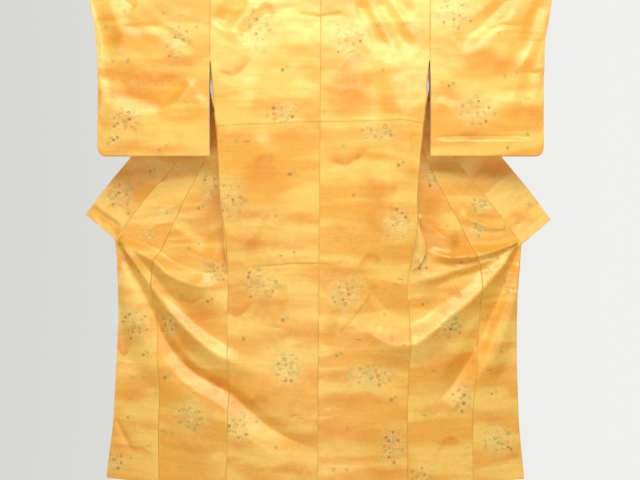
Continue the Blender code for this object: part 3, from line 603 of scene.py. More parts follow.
# some soft bars here are painted shade on fold facets and in hollows, and the rest is printed haze
# x, drop, half width, half height, crisp edge (1 upper, -1 lower, 0 none)
HAZE_AND_SHADE = {
    "back": (
        (-268, 228, 62, 32, -1), (-177, 520, 40, 30, 1), (-178, 560, 60, 50, 0), (-120, 356, 50, 18, 0),
        (-215, 691, 60, 14, 0), (-217, 784, 40, 36, 0), (-243, 975, 48, 30, -1), (-188, 1280, 46, 30, 1),
        (-245, 1405, 44, 18, 0), (-40, 1190, 60, 18, 0), (-50, 440, 80, 18, 0), (-60, 700, 60, 20, 0),
        (-100, 1060, 110, 16, 0), (-70, 1480, 80, 20, 0), (-150, 960, 60, 14, 0), (94, 230, 50, 40, 1),
        (90, 310, 85, 60, 0), (100, 300, 50, 50, 0), (163, 624, 45, 55, 0), (178, 715, 36, 36, 0),
        (-235, 905, 60, 30, 0), (-262, 1290, 40, 36, 0), (80, 500, 74, 38, -1), (162, 830, 40, 24, 1),
        (130, 1265, 150, 18, 0), (84, 1360, 100, 28, 0), (60, 1190, 60, 20, 0), (200, 600, 70, 20, 0),
        (70, 860, 50, 16, 0), (190, 1070, 90, 16, 0), (220, 330, 70, 14, 0), (60, 1040, 50, 14, 0),
        (180, 1490, 90, 16, 0),
    ),
    "front": (
        (-375, 707, 45, 26, 0), (-455, 745, 35, 14, 0), (-365, 995, 50, 28, 0), (-400, 1005, 60, 34, 0),
        (-320, 1290, 50, 30, 0), (-310, 1235, 60, 36, 0), (-425, 1165, 45, 28, 0), (350, 735, 38, 50, 0),
        (-416, 950, 50, 18, -1), (-339, 1248, 36, 26, 1), (-345, 660, 32, 60, 0), (-300, 832, 34, 46, 0),
        (-440, 1110, 60, 16, 0), (-400, 1430, 70, 18, 0), (355, 650, 36, 56, 0), (413, 768, 64, 34, 0),
        (313, 857, 24, 18, 0), (406, 1150, 90, 34, 0), (448, 1225, 30, 16, 0), (402, 1415, 36, 30, 1),
        (370, 1300, 70, 16, 0), (440, 930, 40, 14, 0),
    ),
    "okumi": (
        (-571, 988, 30, 14, 0), (-638, 1105, 30, 34, -1), (-603, 1445, 72, 20, 1), (-515, 545, 28, 34, -1),
        (-590, 1270, 60, 16, 0), (-500, 720, 40, 16, 1), (534, 550, 60, 38, 0), (566, 1336, 74, 24, 0),
        (615, 1473, 34, 14, 0), (555, 1030, 18, 30, 0), (570, 1180, 60, 18, 0), (540, 690, 44, 16, 1),
    ),
    "collar": (
        (-600, 600, 60, 30, 0), (-660, 655, 50, 14, 1), (560, 530, 60, 30, 0), (650, 690, 40, 16, 0),
        (-330, 260, 70, 30, 1), (340, 300, 70, 30, -1), (0, -60, 70, 30, 0),
    ),
    "sleeve": (
        (-560, 262, 70, 34, 0), (-500, 272, 62, 22, 1), (-585, 307, 60, 28, 0), (-595, 478, 60, 22, 0),
        (-480, 486, 80, 14, 0), (-430, 215, 60, 20, 0), (-600, 130, 60, 30, 0), (-520, 330, 50, 18, 0),
        (-640, 250, 36, 30, 0), (395, 317, 40, 30, 0), (546, 222, 56, 30, 0), (638, 371, 50, 20, 0),
        (460, 445, 40, 20, 0), (480, 200, 60, 16, 0),
    ),
    "lining": (),
}
KINDS = ("sage", "arch", "leaf", "rust", "brown", "ring", "dabs", "grass")
RADIUS = {
    "sage": 0.0098, "arch": 0.0088, "leaf": 0.0092, "rust": 0.0086,
    "brown": 0.0080, "ring": 0.0092, "dabs": 0.0088, "grass": 0.0220,
}
CLUSTER_MIX = (
    "sage", "brown", "sage", "ring", "rust", "leaf", "sage", "ring", "brown", "arch", "dabs", "grass",
)
APART = 0.0125
SCATTER_SEED = 11
MOST_TRIES = 900
# spread of a blossom's size, and how far a tuft or an arch leans
SIZE_SPREAD = (0.72, 1.15)
UPRIGHT_LEAN = 0.4
# a face this many radii from every blossom has none, and its motif lies outside all petals
NO_BLOSSOM = 6
OUTSIDE = 5.0


# %% Turn the tables into blossoms and masks
def in_metres(values):
    return [value / 1000 for value in values]


def scatter(part):
    """Every blossom of a part: x, drop, radius, kind and turn."""
    luck = np.random.default_rng(SCATTER_SEED + len(part))
    found = []

    def bloom(x, drop, kind):
        size = RADIUS[kind] * luck.uniform(*SIZE_SPREAD)
        upright = kind in ("dabs", "grass", "arch")
        turn = luck.uniform(-UPRIGHT_LEAN, UPRIGHT_LEAN) if upright else luck.uniform(0, WHOLE_TURN)
        found.append((x, drop, size, KINDS.index(kind) + luck.uniform(0.1, 0.9), turn))

    for *place, count in CLUSTERS[part]:
        x, drop, half_width, half_height = in_metres(place)
        placed, tries = [], 0
        while len(placed) < count and tries < MOST_TRIES:
            tries += 1
            a, r = luck.uniform(0, WHOLE_TURN), luck.uniform(0, 1) ** 0.62
            spot = (x + half_width * r * math.cos(a), drop + half_height * r * math.sin(a) * 0.9)
            if all(math.dist(spot, other) > APART for other in placed):
                placed.append(spot)
                bloom(*spot, CLUSTER_MIX[int(luck.integers(len(CLUSTER_MIX)))])
    for *place, kind in LONE[part]:
        x, drop = in_metres(place)
        if kind == "pair":
            bloom(x - 0.007, drop + 0.003, "brown")
            bloom(x + 0.007, drop - 0.004, "sage")
        else:
            bloom(x, drop, kind)
    return np.array(found or [(9.0, 9.0, 0.01, 0.5, 0.0)])


BLOSSOMS = {part: scatter(part) for part in CLUSTERS}


def lay_motifs(mesh, part, x, drop):
    """Give each face's corners their place inside the nearest blossom, and that blossom's kind."""
    corners = np.zeros(len(mesh.loops), int)
    mesh.loops.foreach_get("vertex_index", corners)
    corners = corners.reshape(-1, 4)
    at = np.stack([x[corners], drop[corners]], axis=-1)
    middle = at.mean(axis=1)
    best, chosen = np.full(len(middle), 9.0), np.zeros(len(middle), int)
    for n, (bx, bd, size, kind, turn) in enumerate(BLOSSOMS[part]):
        far = np.hypot(middle[:, 0] - bx, middle[:, 1] - bd) / size
        chosen = np.where(far < best, n, chosen)
        best = np.minimum(best, far)
    bx, bd, size, kind, turn = BLOSSOMS[part][chosen].T
    across = (at[..., 0] - bx[:, None]) / size[:, None]
    down = (at[..., 1] - bd[:, None]) / size[:, None]
    c, s = np.cos(turn)[:, None], np.sin(turn)[:, None]
    motif = np.stack([across * c + down * s, down * c - across * s], axis=-1)
    motif = np.where((best > NO_BLOSSOM)[:, None, None], OUTSIDE, motif)
    mesh.uv_layers.new(name="motif").data.foreach_set("uv", motif.astype(np.float32).ravel())
    kinds = mesh.attributes.new("kind", "FLOAT", "CORNER")
    kinds.data.foreach_set("value", np.repeat(kind, 4).astype(np.float32))
    mesh.uv_layers["cloth"].active = True
    mesh.uv_layers["cloth"].active_render = True


GLOW_FALL = 0.8
HAZE_AND_SHADE_FALL = 0.9
HAZE_AND_SHADE_STRENGTH = 0.75
CRISP_WIDTH = 0.006
SEAM_WIDTH = 0.0016


def glow_mask(part, x, drop):
    """The paler ground under the clusters."""
    total = np.zeros(np.shape(x))
    x = x + 0.008 * np.sin(drop * 83)
    for *place, count in CLUSTERS[part]:
        cx, cd, half_width, half_height = in_metres(place)
        away = ((x - cx) / half_width) ** 2 + ((drop - cd) / half_height) ** 2
        total = np.maximum(total, np.exp(-GLOW_FALL * away**1.5))
    return total


def haze_and_shade_mask(part, x, drop):
    """Soft bars of haze and of painted shade; some haze has a crisp upper or lower edge that it melts away
    from.
    """
    drop = drop + 0.004 * np.sin(x * 53) + 0.0015 * np.sin(x * 131 + 1)
    x = x + 0.008 * np.sin(drop * 47 + 3 * x)
    total = np.zeros(np.shape(x))
    for n, (*place, crisp) in enumerate(HAZE_AND_SHADE[part]):
        cx, cd, half_width, half_height = in_metres(place)
        dx, dy = (x - cx) / half_width, (drop - cd) / half_height
        if crisp:
            inside = dy * crisp + 0.9 * (1 - dx * dx) + (0.5 if n % 2 else -0.5) * dx
            rim = np.clip(inside * half_height / CRISP_WIDTH, 0, 1)
            value = rim * np.exp(-np.maximum(inside, 0) ** 2 / 1.1)
            value = value * ease((1.15 - np.abs(dx)) / 0.75)
        else:
            value = HAZE_AND_SHADE_STRENGTH * np.exp(-((dx * dx + dy * dy) ** 1.2) * HAZE_AND_SHADE_FALL)
        total = 1 - (1 - total) * (1 - value)
    return total


# 1 at an edge and 0 past the width: it shapes the seams' small dips, and the seam masks that the silk darkens
#                                    with painted shade
def near_edge(distance, width=SEAM_WIDTH):
    return np.clip(1 - distance / width, 0, 1)


print(sum(len(b) for b in BLOSSOMS.values()), "blossoms")

# %% [markdown]
# ## Small node helpers
# A material is a tree of nodes. A few helpers keep the trees readable: one adds a node with its settings
# and inputs, and the others add a sum, a ramp, a stretched noise or a mix, and return its result.

# %% Node helpers
FINISHES = {}


def new_finish(name):
    """A material with a plain shader, kept by name, and its node tree and shader."""
    made = bpy.data.materials.new(name)
    made.use_nodes = True
    FINISHES[name] = made
    return made, made.node_tree, made.node_tree.nodes["Principled BSDF"]


def add(tree, kind, inputs=None, **settings):
    made = tree.nodes.new("ShaderNode" + kind)
    for name, value in settings.items():
        setattr(made, name, value)
    for socket, value in (inputs or {}).items():
        if isinstance(value, bpy.types.NodeSocket):
            tree.links.new(value, made.inputs[socket])
        else:
            made.inputs[socket].default_value = value
    return made


def calc(tree, operation, *values, clamp=False):
    return add(tree, "Math", dict(enumerate(values)), operation=operation, use_clamp=clamp).outputs[0]


def ramp(tree, value, low, high, top=1.0, kind="LINEAR"):
    """0 at low, top at high, and between them a straight or a smooth ramp."""
    limits = {0: value, 1: low, 2: high, 3: 0, 4: top}
    return add(tree, "MapRange", limits, interpolation_type=kind).outputs[0]


def noise(tree, place, scale, detail, distortion=0.0, dimensions="2D"):
    """Noise at a place. Three scales stretch it, a single one keeps it even."""
    if isinstance(scale, tuple):
        place, scale = add(tree, "Mapping", {"Vector": place, "Scale": scale}).outputs[0], 1
    settings = {"Vector": place, "Scale": scale, "Detail": detail, "Distortion": distortion}
    return add(tree, "TexNoise", settings, noise_dimensions=dimensions).outputs[0]


def raise_by(tree, shader, height, strength, distance):
    bump = add(tree, "Bump", {"Strength": strength, "Distance": distance, "Height": height})
    tree.links.new(bump.outputs[0], shader.inputs["Normal"])


def blend(tree, share, first, second, kind="MIX"):
    made = add(tree, "Mix", {0: share, 6: first, 7: second}, data_type="RGBA", blend_type=kind)
    return made.outputs[2]


def new_group(name, inputs, outputs):
    tree = bpy.data.node_groups.new(name, "ShaderNodeTree")
    for label, kind in inputs:
        tree.interface.new_socket(label, in_out="INPUT", socket_type="NodeSocket" + kind)
    for label, kind in outputs:
        tree.interface.new_socket(label, in_out="OUTPUT", socket_type="NodeSocket" + kind)
    return tree, tree.nodes.new("NodeGroupInput").outputs, tree.nodes.new("NodeGroupOutput").inputs


# %% [markdown]
# ## Blossoms
# A blossom is drawn from its own coordinates, which run from -1 to 1 across it. The angle round its
# centre cuts five petals, three short arches make a chain of dabs, and fine rays make a tuft of grass.
# The kind picks the shape and the dye. Drawing them in a node group keeps the edges sharp at any
# distance, which a painted picture would not.

# %% Build the blossom group
SAGE = (0.43, 0.385, 0.085, 1)
RUST = (0.55, 0.17, 0.020, 1)
BROWN = (0.33, 0.095, 0.012, 1)
CREAM = (1.0, 0.80, 0.42, 1)
DYES = (SAGE, SAGE, (0.50, 0.46, 0.12, 1), RUST, BROWN, (0.45, 0.14, 0.02, 1), BROWN, (0.95, 0.74, 0.30, 1))

blossoms, given, result = new_group(
    "blossoms", [("Motif", "Vector"), ("Kind", "Float")], [("Colour", "Color"), ("Mask", "Float")])
kind = given["Kind"]


def work(operation, *values, clamp=False):
    return calc(blossoms, operation, *values, clamp=clamp)


def times(*values, clamp=False):
    return work("MULTIPLY", *values, clamp=clamp)


def among(low, high):
    """1 for the kinds from low to just below high."""
    return work("COMPARE", kind, (low + high) / 2, (high - low) / 2)


across, down, _ = add(blossoms, "SeparateXYZ", {0: given["Motif"]}).outputs
wobble = {"Vector": given["Motif"], "W": times(kind, 40), "Scale": 1.3, "Detail": 1}
ragged = add(blossoms, "TexNoise", wobble, noise_dimensions="4D").outputs[0]
far = add(blossoms, "VectorMath", {0: given["Motif"]}, operation="LENGTH").outputs["Value"]
far = work("MULTIPLY_ADD", work("SUBTRACT", ragged, 0.5), 0.9, far)
angle = work("ARCTAN2", down, across)
petals = work("MULTIPLY_ADD", work("COSINE", times(angle, 5)), 0.19, 0.72)
filled = times(work("SUBTRACT", petals, far), 4, clamp=True)

third = work("SUBTRACT", work("FRACT", work("MULTIPLY_ADD", across, 1.5, 1.5)), 0.5)
arch = work("MULTIPLY_ADD", times(third, third), -1.9, down)
arch = work("SUBTRACT", 0.17, work("ABSOLUTE", work("ADD", arch, 0.2)))
arch = times(times(arch, 9, clamp=True), work("LESS_THAN", work("ABSOLUTE", across), 1))
ray = work("MULTIPLY_ADD", work("COSINE", times(angle, 22)), 3, -1.4, clamp=True)
ray = times(times(ray, work("COMPARE", far, 0.64, 0.32)), work("LESS_THAN", down, -0.1))

arched = work("ADD", among(1, 2), among(6, 7))
mask = work("ADD", times(arched, arch), times(among(7, 8), ray))
round_ones = work("SUBTRACT", work("SUBTRACT", 1, arched), among(7, 8))
mask = work("MULTIPLY_ADD", round_ones, filled, mask)
strength = work("MULTIPLY_ADD", work("FRACT", kind), 0.34, 0.62)
hollow = times(work("SUBTRACT", times(petals, 0.68), far), 8, clamp=True)
mask = times(mask, work("MULTIPLY_ADD", times(hollow, among(5, 6)), -0.72, 1))

dyes = add(blossoms, "ValToRGB", {0: work("DIVIDE", kind, len(KINDS))})
dyes.color_ramp.interpolation = "CONSTANT"
for n, dye in enumerate(DYES):
    stop = dyes.color_ramp.elements[0] if n == 0 else dyes.color_ramp.elements.new(n / len(KINDS))
    stop.position, stop.color = n / len(KINDS), dye
dyes.color_ramp.elements.remove(dyes.color_ramp.elements[-1])
eye = times(work("LESS_THAN", far, 0.24), times(round_ones, 0.25))
blossoms.links.new(blend(blossoms, eye, dyes.outputs[0], CREAM), result["Colour"])
blossoms.links.new(times(mask, strength), result["Mask"])
print("blossom group:", len(blossoms.nodes), "nodes")

# %% [markdown]
# ## The satin's weave
# Figured satin has a smooth face with a faint woven figure that only shows as a change of sheen, and
# slightly uneven threads across the width. Stretched noise gives the threads, and a soft large noise
# gives the figure, which lowers the roughness and also lightens the shade a little as painted sheen. The
# group puts out a shade, a roughness and a height, and each silk uses them in its own way.

# %% Build the weave group
weave, given, result = new_group(
    "satin weave", [("Cloth", "Vector"), ("Figure", "Float")],
    [("Shade", "Float"), ("Roughness", "Float"), ("Height", "Float")])
thread = noise(weave, given["Cloth"], (60, 620, 1), 2)
slub = noise(weave, given["Cloth"], (9, 95, 1), 3, 0.6)
figure = ramp(weave, noise(weave, given["Cloth"], (26, 40, 1), 2, 1.6), 0.44, 0.56, kind="SMOOTHSTEP")
figure = calc(weave, "MULTIPLY", figure, given["Figure"])
shade = calc(weave, "MULTIPLY_ADD", slub, 0.16, 0.92)
shade = calc(weave, "MULTIPLY_ADD", thread, 0.05, calc(weave, "SUBTRACT", shade, 0.025))
# the figure's small lift of the shade is painted sheen
shade = calc(weave, "MULTIPLY_ADD", figure, 0.05, shade)
rough = calc(weave, "MULTIPLY_ADD", figure, -0.06, calc(weave, "MULTIPLY_ADD", slub, 0.10, 0.37))
height = calc(weave, "MULTIPLY_ADD", thread, 0.25, calc(weave, "MULTIPLY_ADD", figure, 0.35, slub))
for label, value in (("Shade", shade), ("Roughness", rough), ("Height", height)):
    weave.links.new(value, result[label])


def satin(tree, cloth, figure):
    """The weave's outputs in a material, and its shade as a grey."""
    woven = add(tree, "Group", {"Cloth": cloth, "Figure": figure}, node_tree=weave).outputs
    return woven, add(tree, "CombineColor", {n: woven["Shade"] for n in range(3)}).outputs[0]


print("weave group:", len(weave.nodes), "nodes")

# %% [markdown]
# ## The golden silk
# The ground runs from a light gold to a deeper one in broad soft bars, as a hand-dyed length does.
# Orange haze, a cream glow under each cluster and the blossoms lie on it. Some of the haze is painted
# shade on fold facets and in hollows, and the seams are a touch darker as painted shade, because a sewn
# seam is a small valley. Satin shines in the colour of its own thread, so the specular light is tinted,
# and a thin rough coat spreads a second, wider shine over it. Colour, roughness and bump read the panel's
# own UV maps and masks, so the print and its painted shade stay on their panel from every side.

# %% Make the silk
GOLD = (0.95, 0.600, 0.120, 1)
DEEP_GOLD = (0.88, 0.415, 0.042, 1)
HAZE_AND_SHADE_DYE = (0.80, 0.270, 0.008, 1)
GLOW = (1.0, 0.74, 0.26, 1)
SEAM_SHADE = (0.50, 0.22, 0.03, 1)
SATIN_FACE = {
    "IOR": 1.58, "Specular IOR Level": 1.0, "Specular Tint": (1.0, 0.90, 0.62, 1),
    "Coat Weight": 0.20, "Coat Roughness": 0.42,
    "Sheen Weight": 0.1, "Sheen Roughness": 0.35, "Sheen Tint": (1.0, 0.86, 0.55, 1),
}

silk, tree, shader = new_finish("silk")
cloth = add(tree, "UVMap", uv_map="cloth").outputs[0]
print_and_shade_masks = add(tree, "Attribute", attribute_name="print").outputs["Vector"]
mask = add(tree, "SeparateXYZ", {0: print_and_shade_masks}).outputs
bar = ramp(tree, noise(tree, cloth, (2.6, 12.0, 1), 2, 0.35), 0.38, 0.62, kind="SMOOTHSTEP")
ground = blend(tree, bar, GOLD, DEEP_GOLD)
mottle = noise(tree, cloth, 45, 3)
# the haze dye is print and, in some bars, painted shade on fold facets and in hollows
haze_and_shade = calc(tree, "MULTIPLY", mask[1], calc(tree, "MULTIPLY_ADD", mottle, 0.6, 0.58), clamp=True)
ground = blend(tree, haze_and_shade, ground, HAZE_AND_SHADE_DYE)
uneven = calc(tree, "MULTIPLY_ADD", calc(tree, "SUBTRACT", mottle, 0.5), 1.6, 0.75)
glow = calc(tree, "MULTIPLY", calc(tree, "MULTIPLY", uneven, mask[0]), 0.48, clamp=True)
ground = blend(tree, glow, ground, GLOW)
specks = noise(tree, cloth, 210, 1, 1.2)
for low, high, share, dye in ((0.60, 0.66, 0.50, BROWN), (0.40, 0.34, 0.52, SAGE)):
    speck = calc(tree, "MULTIPLY", ramp(tree, specks, low, high, share), mask[0])
    ground = blend(tree, speck, ground, dye)
motif = add(tree, "UVMap", uv_map="motif").outputs[0]
which = add(tree, "Attribute", attribute_name="kind").outputs["Fac"]
bloom = add(tree, "Group", {"Motif": motif, "Kind": which}, node_tree=blossoms).outputs
ground = blend(tree, bloom["Mask"], ground, bloom["Colour"])
woven, grey = satin(tree, cloth, 1.0)
ground = blend(tree, 1.0, ground, grey, kind="MULTIPLY")
# painted shade along the seams, the tuck seam and the sleeves' bottom fold
ground = blend(tree, calc(tree, "MULTIPLY", mask[2], 0.28), ground, SEAM_SHADE)
tree.links.new(ground, shader.inputs["Base Color"])
tree.links.new(woven["Roughness"], shader.inputs["Roughness"])
raise_by(tree, shader, woven["Height"], 0.22, 0.0008)
for label, value in SATIN_FACE.items():
    shader.inputs[label].default_value = value
print("silk:", len(tree.nodes), "nodes")

# %% [markdown]
# ## Lining and rod
# The lining is plain matt silk, pale with a faint rose, and shows only inside the openings and from
# behind. The rod is straight-grained wood under a thin varnish: the grain is a noise that is stretched along
# the rod, read from Object coordinates, because a round bar has no cloth map.

# %% Make the lining and the wood
lining, tree, shader = new_finish("lining")
cloth = add(tree, "UVMap", uv_map="cloth").outputs[0]
woven, grey = satin(tree, cloth, 0.0)
pale = blend(tree, noise(tree, cloth, 3.5, 2), (0.86, 0.80, 0.76, 1), (0.84, 0.74, 0.73, 1))
tree.links.new(blend(tree, 1.0, pale, grey, kind="MULTIPLY"), shader.inputs["Base Color"])
tree.links.new(calc(tree, "ADD", woven["Roughness"], 0.15), shader.inputs["Roughness"])
raise_by(tree, shader, woven["Height"], 0.2, 0.0006)

wood, tree, shader = new_finish("rod_wood")
here = add(tree, "TexCoord").outputs["Object"]
grain = noise(tree, here, (5, 190, 190), 5, 0.5, "3D")
tone = add(tree, "ValToRGB", {0: grain})
dark, light = tone.color_ramp.elements
dark.position, dark.color = 0.32, (0.17, 0.075, 0.028, 1)
light.position, light.color = 0.68, (0.42, 0.225, 0.095, 1)
tree.links.new(tone.outputs[0], shader.inputs["Base Color"])
tree.links.new(calc(tree, "MULTIPLY_ADD", grain, 0.25, 0.25), shader.inputs["Roughness"])
raise_by(tree, shader, grain, 0.25, 0.0005)
shader.inputs["Coat Weight"].default_value = 0.3

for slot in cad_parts["hanging_rod"].material_slots:
    slot.material = wood
print("materials:", ", ".join(m.name for m in (silk, lining, wood)))

# %% [markdown]
# ## The two backs
# The backs are sewn together at the middle and hang from the top of the rod to the hem. The neckline is
# cut away in front of the rod, where the collar stands. The grid has a column exactly at the neck point,
# so the notch is simply the faces that are left out.

# %% Lay the backs
CREASE_DROP = 0.8415
BACK_DROPS = marks(0.0, LENGTH, CLOTH_STEP, close=(TUCK_DROP, CREASE_DROP))
FRONT_ANGLES = np.radians(np.linspace(90, 0, 9)[:-1])


def middle_x(drop):
    return 0.003 - 0.0072 * drop


def lay_back(name, side):
    across = np.union1d(marks(0.0, NECK_REACH, CLOTH_STEP), marks(NECK_REACH, SHOULDER_REACH, CLOTH_STEP))
    share = across / SHOULDER_REACH
    drop = BACK_DROPS[:, None] + tuck_shift(side * across, BACK_DROPS[:, None])
    middle = middle_x(drop) + side * SEAM_GAP / 2
    edge = side * side_reach(side, drop)
    x = middle + (edge - middle) * share
    dip = 0.0005 * near_edge(np.abs(x - middle), 0.004) + 0.0007 * near_edge(np.abs(edge - x), 0.004)
    hung = np.stack([x, back_depth(x, drop) + dip, height_of(x, drop)], axis=-1)
    depth, height = over_rod(FRONT_ANGLES)
    top = np.zeros((len(FRONT_ANGLES), len(share), 3))
    top[..., 0], top[..., 1], top[..., 2] = x[0], depth[:, None], height[:, None]
    spots = np.concatenate([top, hung])
    rows = np.concatenate([-SADDLE * FRONT_ANGLES[:, None] + 0 * x[:1], drop])
    uv = np.stack([np.abs(spots[..., 0] - middle_x(rows)), rows], axis=-1)
    sewn = near_edge(np.abs(spots[..., 0] - middle_x(np.maximum(rows, 0))))
    outer = near_edge(side_reach(side, np.maximum(rows, 0)) - np.abs(spots[..., 0])) * (rows > POCKET_END)
    tuck = near_edge(np.abs(rows - TUCK_DROP - tuck_shift(spots[..., 0], rows) - 0.001), 0.0022)
    neck = int(np.searchsorted(across, NECK_REACH))
    panel(name, spots, uv, (spots[..., 0], rows), np.maximum(np.maximum(sewn, outer), 0.35 * tuck),
          notch=lambda row, col: row < len(FRONT_ANGLES) and col < neck)


for side, word in SIDES:
    lay_back(f"back_{word}", side)

# %% [markdown]
# ## The two fronts
# A front goes over the rod behind the back, hangs there with its lining to us, and turns outwards on a
# slanting line to show its face again on the wing. Every level of it is one drawn section: the side
# seam, the hung layer, the round turn and the opened layer. The rows of such sections make the sheet, and
# the pocket that the turn leaves closes where its line meets the side seam.

# %% Lay the fronts
SEAM_SEGMENTS, HUNG_SEGMENTS, TURN_SEGMENTS, OPENED_SEGMENTS = 6, 22, 8, 50
PACKED_SEGMENTS = SEAM_SEGMENTS + HUNG_SEGMENTS + TURN_SEGMENTS
FRONT_COLUMNS = PACKED_SEGMENTS + OPENED_SEGMENTS
TURN_RADIUS = 0.010
PACKED_STEP = 0.0012
JOIN_RUN = 0.18
SADDLE_RUN = 0.03
# share of the curl, reach and depth from the back's edge
SEAM_CURL = ((0.0, 0.0014, 0.0004), (0.35, 0.0026, 0.0020), (0.7, 0.0012, 0.0042), (1.0, -0.0020, 0.0054))
HUNG_EDGE = (
    (0.00, SADDLE), (0.10, 0.0147), (0.215, 0.0120), (0.25, 0.0085), (0.30, 0.0050), (0.365, -0.0005),
)
# drop, how far the front's own cloth stands out past the side seam, left and right
LOBE = (
    (0.64, 0.000, 0.000), (0.72, 0.002, 0.006), (0.80, 0.006, 0.040), (0.835, 0.004, 0.036),
    (0.875, 0.000, 0.004), (0.92, 0.000, 0.000),
)


def front_section(side, drop):
    """One level of the front as rows of reach and depth, from the side seam outwards."""
    edge = float(side_reach(side, drop))
    seam = OKUMI_SEAM if drop >= KENSAKI_DROP else COLLAR_SEAM
    outer = float(edge_at(seam, side, drop)) - SEAM_GAP / 2
    if drop > POCKET_END:
        edge += SEAM_GAP
        near = edge + np.arange(PACKED_SEGMENTS) * PACKED_STEP
        packed = np.concatenate([near, np.linspace(near[-1] + PACKED_STEP, outer, OPENED_SEGMENTS + 1)])
        even = np.linspace(edge, outer, FRONT_COLUMNS + 1)
        reach = packed + (even - packed) * ease((drop - POCKET_END) / JOIN_RUN)
        return np.column_stack([reach, opened_depth(side * reach, drop + 0 * reach)])
    turn = float(edge_at(TURN_LINE, side, drop))
    opened = float(opened_depth(np.array(side * turn), np.array(drop)))
    curl = np.linspace(0, 1, SEAM_SEGMENTS + 1)
    if drop < SIDE_OPENING_END:
        edge = SHOULDER_REACH if drop < ARMHOLE_DROP else float(edge_at(OPENING_EDGE, side, drop))
        seam_depth = float(smooth(HUNG_EDGE, 1, drop))
        start = np.column_stack([edge - 0.004 * curl, seam_depth + 0 * curl])
    else:
        back_face = float(back_depth(np.array(side * edge), np.array(drop)))
        seam_depth = back_face + SEAM_CURL[-1][2]
        lobe = float(edge_at(LOBE, side, drop)) * np.sin(math.pi * curl) ** 0.6
        reach = edge + smooth(SEAM_CURL, 1, curl) + lobe
        start = np.column_stack([reach, back_face + smooth(SEAM_CURL, 2, curl)])
        start[0, 0] -= PACKED_STEP * ease(lobe.max() / 0.003)
    radius = max(0.0, min(TURN_RADIUS, (opened - seam_depth) / 2))
    turn = min(turn, start[-1][0] - 0.002)
    centre = turn + radius
    share = np.arange(1, HUNG_SEGMENTS + 1) / HUNG_SEGMENTS
    hung = np.column_stack([start[-1][0] + (centre - start[-1][0]) * share,
                            seam_depth + (opened - 2 * radius - seam_depth) * ease(share)])
    angle = math.pi * np.arange(1, TURN_SEGMENTS) / TURN_SEGMENTS
    bend = np.column_stack([centre - radius * np.sin(angle), opened - radius * (1 + np.cos(angle))])
    reach = np.linspace(centre, outer, OPENED_SEGMENTS + 1)
    laid = np.column_stack([reach, opened_depth(side * reach, drop + 0 * reach)])
    return np.vstack([start, hung, bend, laid])


def lay_front(name, side):
    drops = marks(0.0, LENGTH, LONG_STEP, close=(POCKET_END,))
    sections = np.array([front_section(side, drop) for drop in drops])
    flat = np.minimum.accumulate(sections[0, :, 0])
    flat = NECK_REACH + (flat - flat[-1]) * (SHOULDER_REACH - NECK_REACH) / (flat[0] - flat[-1])
    share = ease(drops / SADDLE_RUN)[:, None]
    reach = flat + (sections[..., 0] - flat) * share
    depth = SADDLE + (sections[..., 1] - SADDLE) * share
    x = side * reach
    hung = np.stack([x, depth, height_of(x, drops[:, None])], axis=-1)
    back_depths, heights = over_rod(np.pi - FRONT_ANGLES)
    top = np.zeros((len(FRONT_ANGLES), FRONT_COLUMNS + 1, 3))
    top[..., 0], top[..., 1], top[..., 2] = side * flat, back_depths[:, None], heights[:, None]
    spots = np.concatenate([top, hung])
    across = lengths(spots, 1)
    rows = np.concatenate([-SADDLE * FRONT_ANGLES, drops])[:, None] + 0 * across
    down = lengths(spots, 0)[:, -1:] + 0 * across
    uv = np.stack([across[:, -1:] - across, down], axis=-1)
    seam = np.maximum(near_edge(across), near_edge(across[:, -1:] - across)) * (rows > 0)
    high, low = len(FRONT_ANGLES) + np.searchsorted(drops, (ARMHOLE_DROP - 0.02, 0.40))
    panel(name, spots, uv, (spots[..., 0], rows), seam, ("silk", "lining", "silk", "silk"),
          faced=lambda row, col: high <= row < low and col < SEAM_SEGMENTS + 6)


for side, word in SIDES:
    lay_front(f"front_{word}", side)

# %% [markdown]
# ## The overlaps
# Each front edge carries a half-width panel that runs from a point on the collar down to the hem. It is
# a plain sheet between two curves, the front's seam and the collar's seam or the free edge, on the same
# depth.

# %% Lay the overlaps
OKUMI_WIDTH = 0.155
OKUMI_STEP = 0.0050


def lay_okumi(name, side):
    drops = marks(KENSAKI_DROP + 0.004, LENGTH, LONG_STEP, close=(COLLAR_END[side],))[:, None]
    share = marks(0.0, OKUMI_WIDTH, OKUMI_STEP)[None, :] / OKUMI_WIDTH
    inner = edge_at(OKUMI_SEAM, side, drops) + SEAM_GAP / 2
    outer = np.where(drops <= COLLAR_END[side], edge_at(COLLAR_SEAM, side, drops) - SEAM_GAP,
                     edge_at(FREE_EDGE, side, drops))
    x = side * (inner + (outer - inner) * share)
    rows = drops + 0 * x
    spots = np.stack([x, opened_depth(x, rows), height_of(x, rows)], axis=-1)
    reach = np.abs(x)
    uv = np.stack([reach - inner, lengths(spots, 0)[:, :1] + 0 * x], axis=-1)
    seam = np.maximum(near_edge(reach - inner), near_edge(outer - reach) * (rows < COLLAR_END[side]))
    panel(name, spots, uv, (x, rows), seam)


for side, word in SIDES:
    lay_okumi(f"okumi_{word}", side)

# %% [markdown]
# ## The collar
# The wide collar is one band, folded lengthwise when the kimono is worn and opened out flat here. It
# stands behind the neck, crosses the rod at each side of the neckline and spreads on the wings. A path
# along its seam with a width direction at every step makes the band, and the wing's depth
# takes over where it lies flat.

# %% Lay the collar
NECK_STEPS = 46
COLLAR_STEP = 0.0048
SHOULDER_DEPTH = 0.0155
# the band's width runs this way where it leaves the rod, and this way on the wing
LEAVING_WAY = (0.52, 0.22, 0.85)
WING_WAY = (0.765, 0.13, 0.643)
WAY_RUN = 0.20
